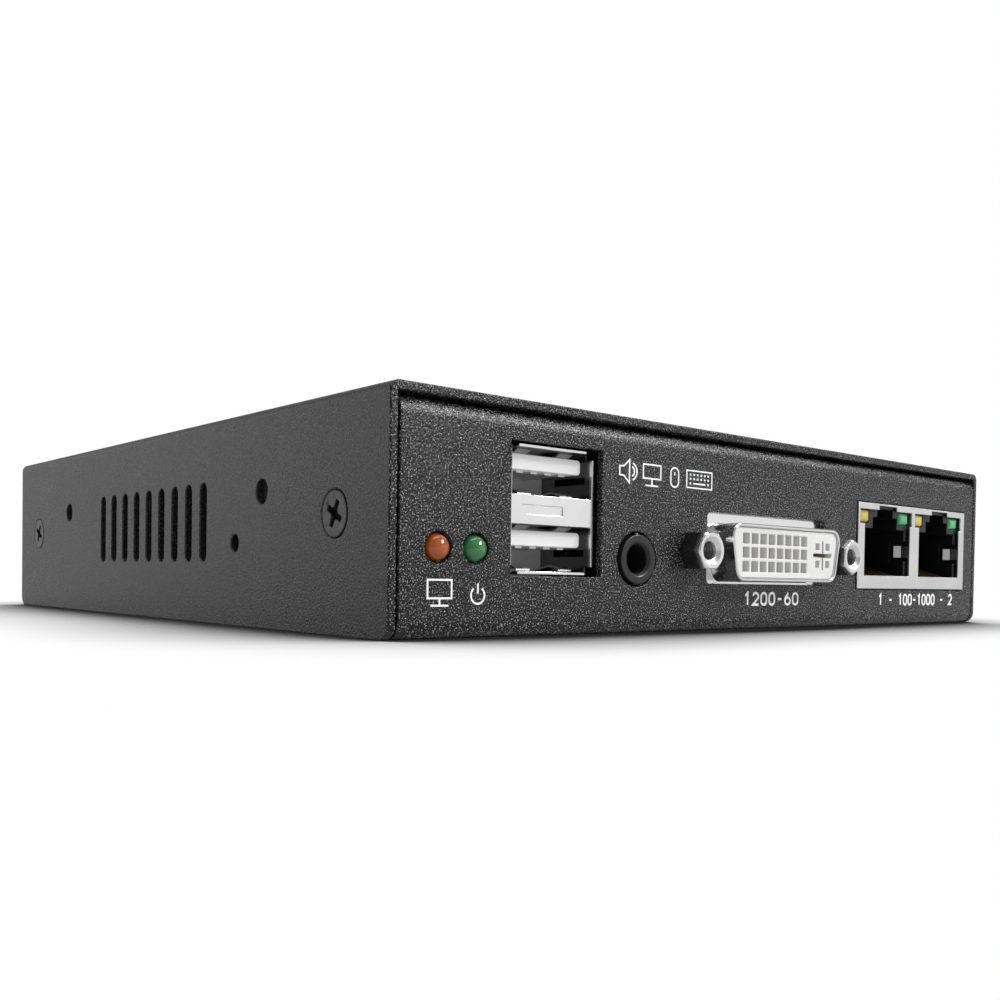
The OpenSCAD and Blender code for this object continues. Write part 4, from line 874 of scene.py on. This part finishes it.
def floor_material():
    mat = bpy.data.materials.new("floor_white")
    mat.use_nodes = True
    tree = mat.node_tree
    tree.nodes.clear()
    bounced = tree.nodes.new("ShaderNodeBsdfDiffuse")
    bounced.inputs[0].default_value = (FLOOR_BOUNCE, FLOOR_BOUNCE, FLOOR_BOUNCE, 1)
    contact = tree.nodes.new("ShaderNodeAmbientOcclusion")
    contact.samples = CONTACT_SAMPLES
    contact.inputs["Distance"].default_value = CONTACT_REACH
    shown = tree.nodes.new("ShaderNodeEmission")
    # Ambient occlusion paints the contact shadow into the white that the camera sees
    shade = remap(tree, contact.outputs["AO"], *CONTACT_BAND, *CONTACT_SHADE)
    tree.links.new(shade, shown.inputs[0])
    by_ray(tree, bounced, shown, tree.nodes.new("ShaderNodeOutputMaterial"))
    return mat


def floor_plane():
    bm = bmesh.new()
    bm.faces.new([bm.verts.new((x * FLOOR_HALF, y * FLOOR_HALF, FLOOR_Z))
                  for x, y in ((-1, -1), (1, -1), (1, 1), (-1, 1))])
    mesh = bpy.data.meshes.new("floor")
    bm.to_mesh(mesh)
    bm.free()
    mesh.materials.append(floor_material())
    obj = bpy.data.objects.new("floor", mesh)
    bpy.context.scene.collection.objects.link(obj)


def background(tree, strength):
    node = tree.nodes.new("ShaderNodeBackground")
    node.inputs[0].default_value = (1, 1, 1, 1)
    node.inputs[1].default_value = strength
    return node


def studio_world():
    world = bpy.data.worlds.new("studio")
    bpy.context.scene.world = world
    world.use_nodes = True
    tree = world.node_tree
    tree.nodes.clear()
    by_ray(tree, background(tree, WORLD_LIGHT), background(tree, WORLD_SEEN),
           tree.nodes.new("ShaderNodeOutputWorld"))


def area(name, where, target, size, power):
    """A rectangular light that points at a target, in metres."""
    light = bpy.data.lights.new(name, "AREA")
    light.shape = "RECTANGLE"
    light.size, light.size_y = size
    light.energy = power
    obj = bpy.data.objects.new(name, light)
    obj.location = where
    obj.rotation_mode = "QUATERNION"
    obj.rotation_quaternion = (Vector(target) - Vector(where)).to_track_quat("-Z", "Y")
    bpy.context.scene.collection.objects.link(obj)


floor_plane()
studio_world()
area("key", where=(0.46, -0.68, 0.56), target=(0, -0.05, 0.013), size=(0.34, 0.13), power=4.4)
area("bend", where=(0.56, -0.5, 0.7), target=(0, -0.065, 0.025), size=(0.36, 0.12), power=3.2)
area("card", where=(0.95, -1.05, 0.1), target=(0, -0.065, 0.013), size=(1.5, 0.6), power=1.5)
area("top", where=(0.0, 0.2, 1.1), target=(0, 0, 0), size=(1.0, 1.0), power=6)
area("rear_left", where=(-1.0, 1.05, 0.35), target=(-0.05, 0, 0.013), size=(1.6, 0.9), power=3.7)


# Camera, fitted to the photo: its place in metres, its axes and its lens

CAMERA_AT = (-0.1216343774, -0.1561075764, 0.0067963083)
CAMERA_RIGHT = Vector((0.741802103558929, -0.6704077617497867, 0.016824747878927057))
CAMERA_DOWN = Vector((-0.001416160382485329, -0.026654321615928834, -0.9996437073422539))
CAMERA_AHEAD = Vector((0.6706173526276509, 0.7415139783745388, -0.020721636755932953))
CAMERA_LENS = 37.6015
CAMERA_SHIFT = (-0.06, 0.10)

camera_data = bpy.data.cameras.new("camera")
camera_data.sensor_width = 36
camera_data.lens = CAMERA_LENS
camera_data.shift_x, camera_data.shift_y = CAMERA_SHIFT
camera_data.clip_start = 0.005
camera_data.clip_end = 50
camera = bpy.data.objects.new("camera", camera_data)
turn = Matrix((CAMERA_RIGHT, -CAMERA_DOWN, -CAMERA_AHEAD)).transposed()
camera.matrix_world = Matrix.Translation(CAMERA_AT) @ turn.to_4x4()
bpy.context.scene.collection.objects.link(camera)
bpy.context.scene.camera = camera
bpy.context.scene.view_settings.view_transform = "Standard"
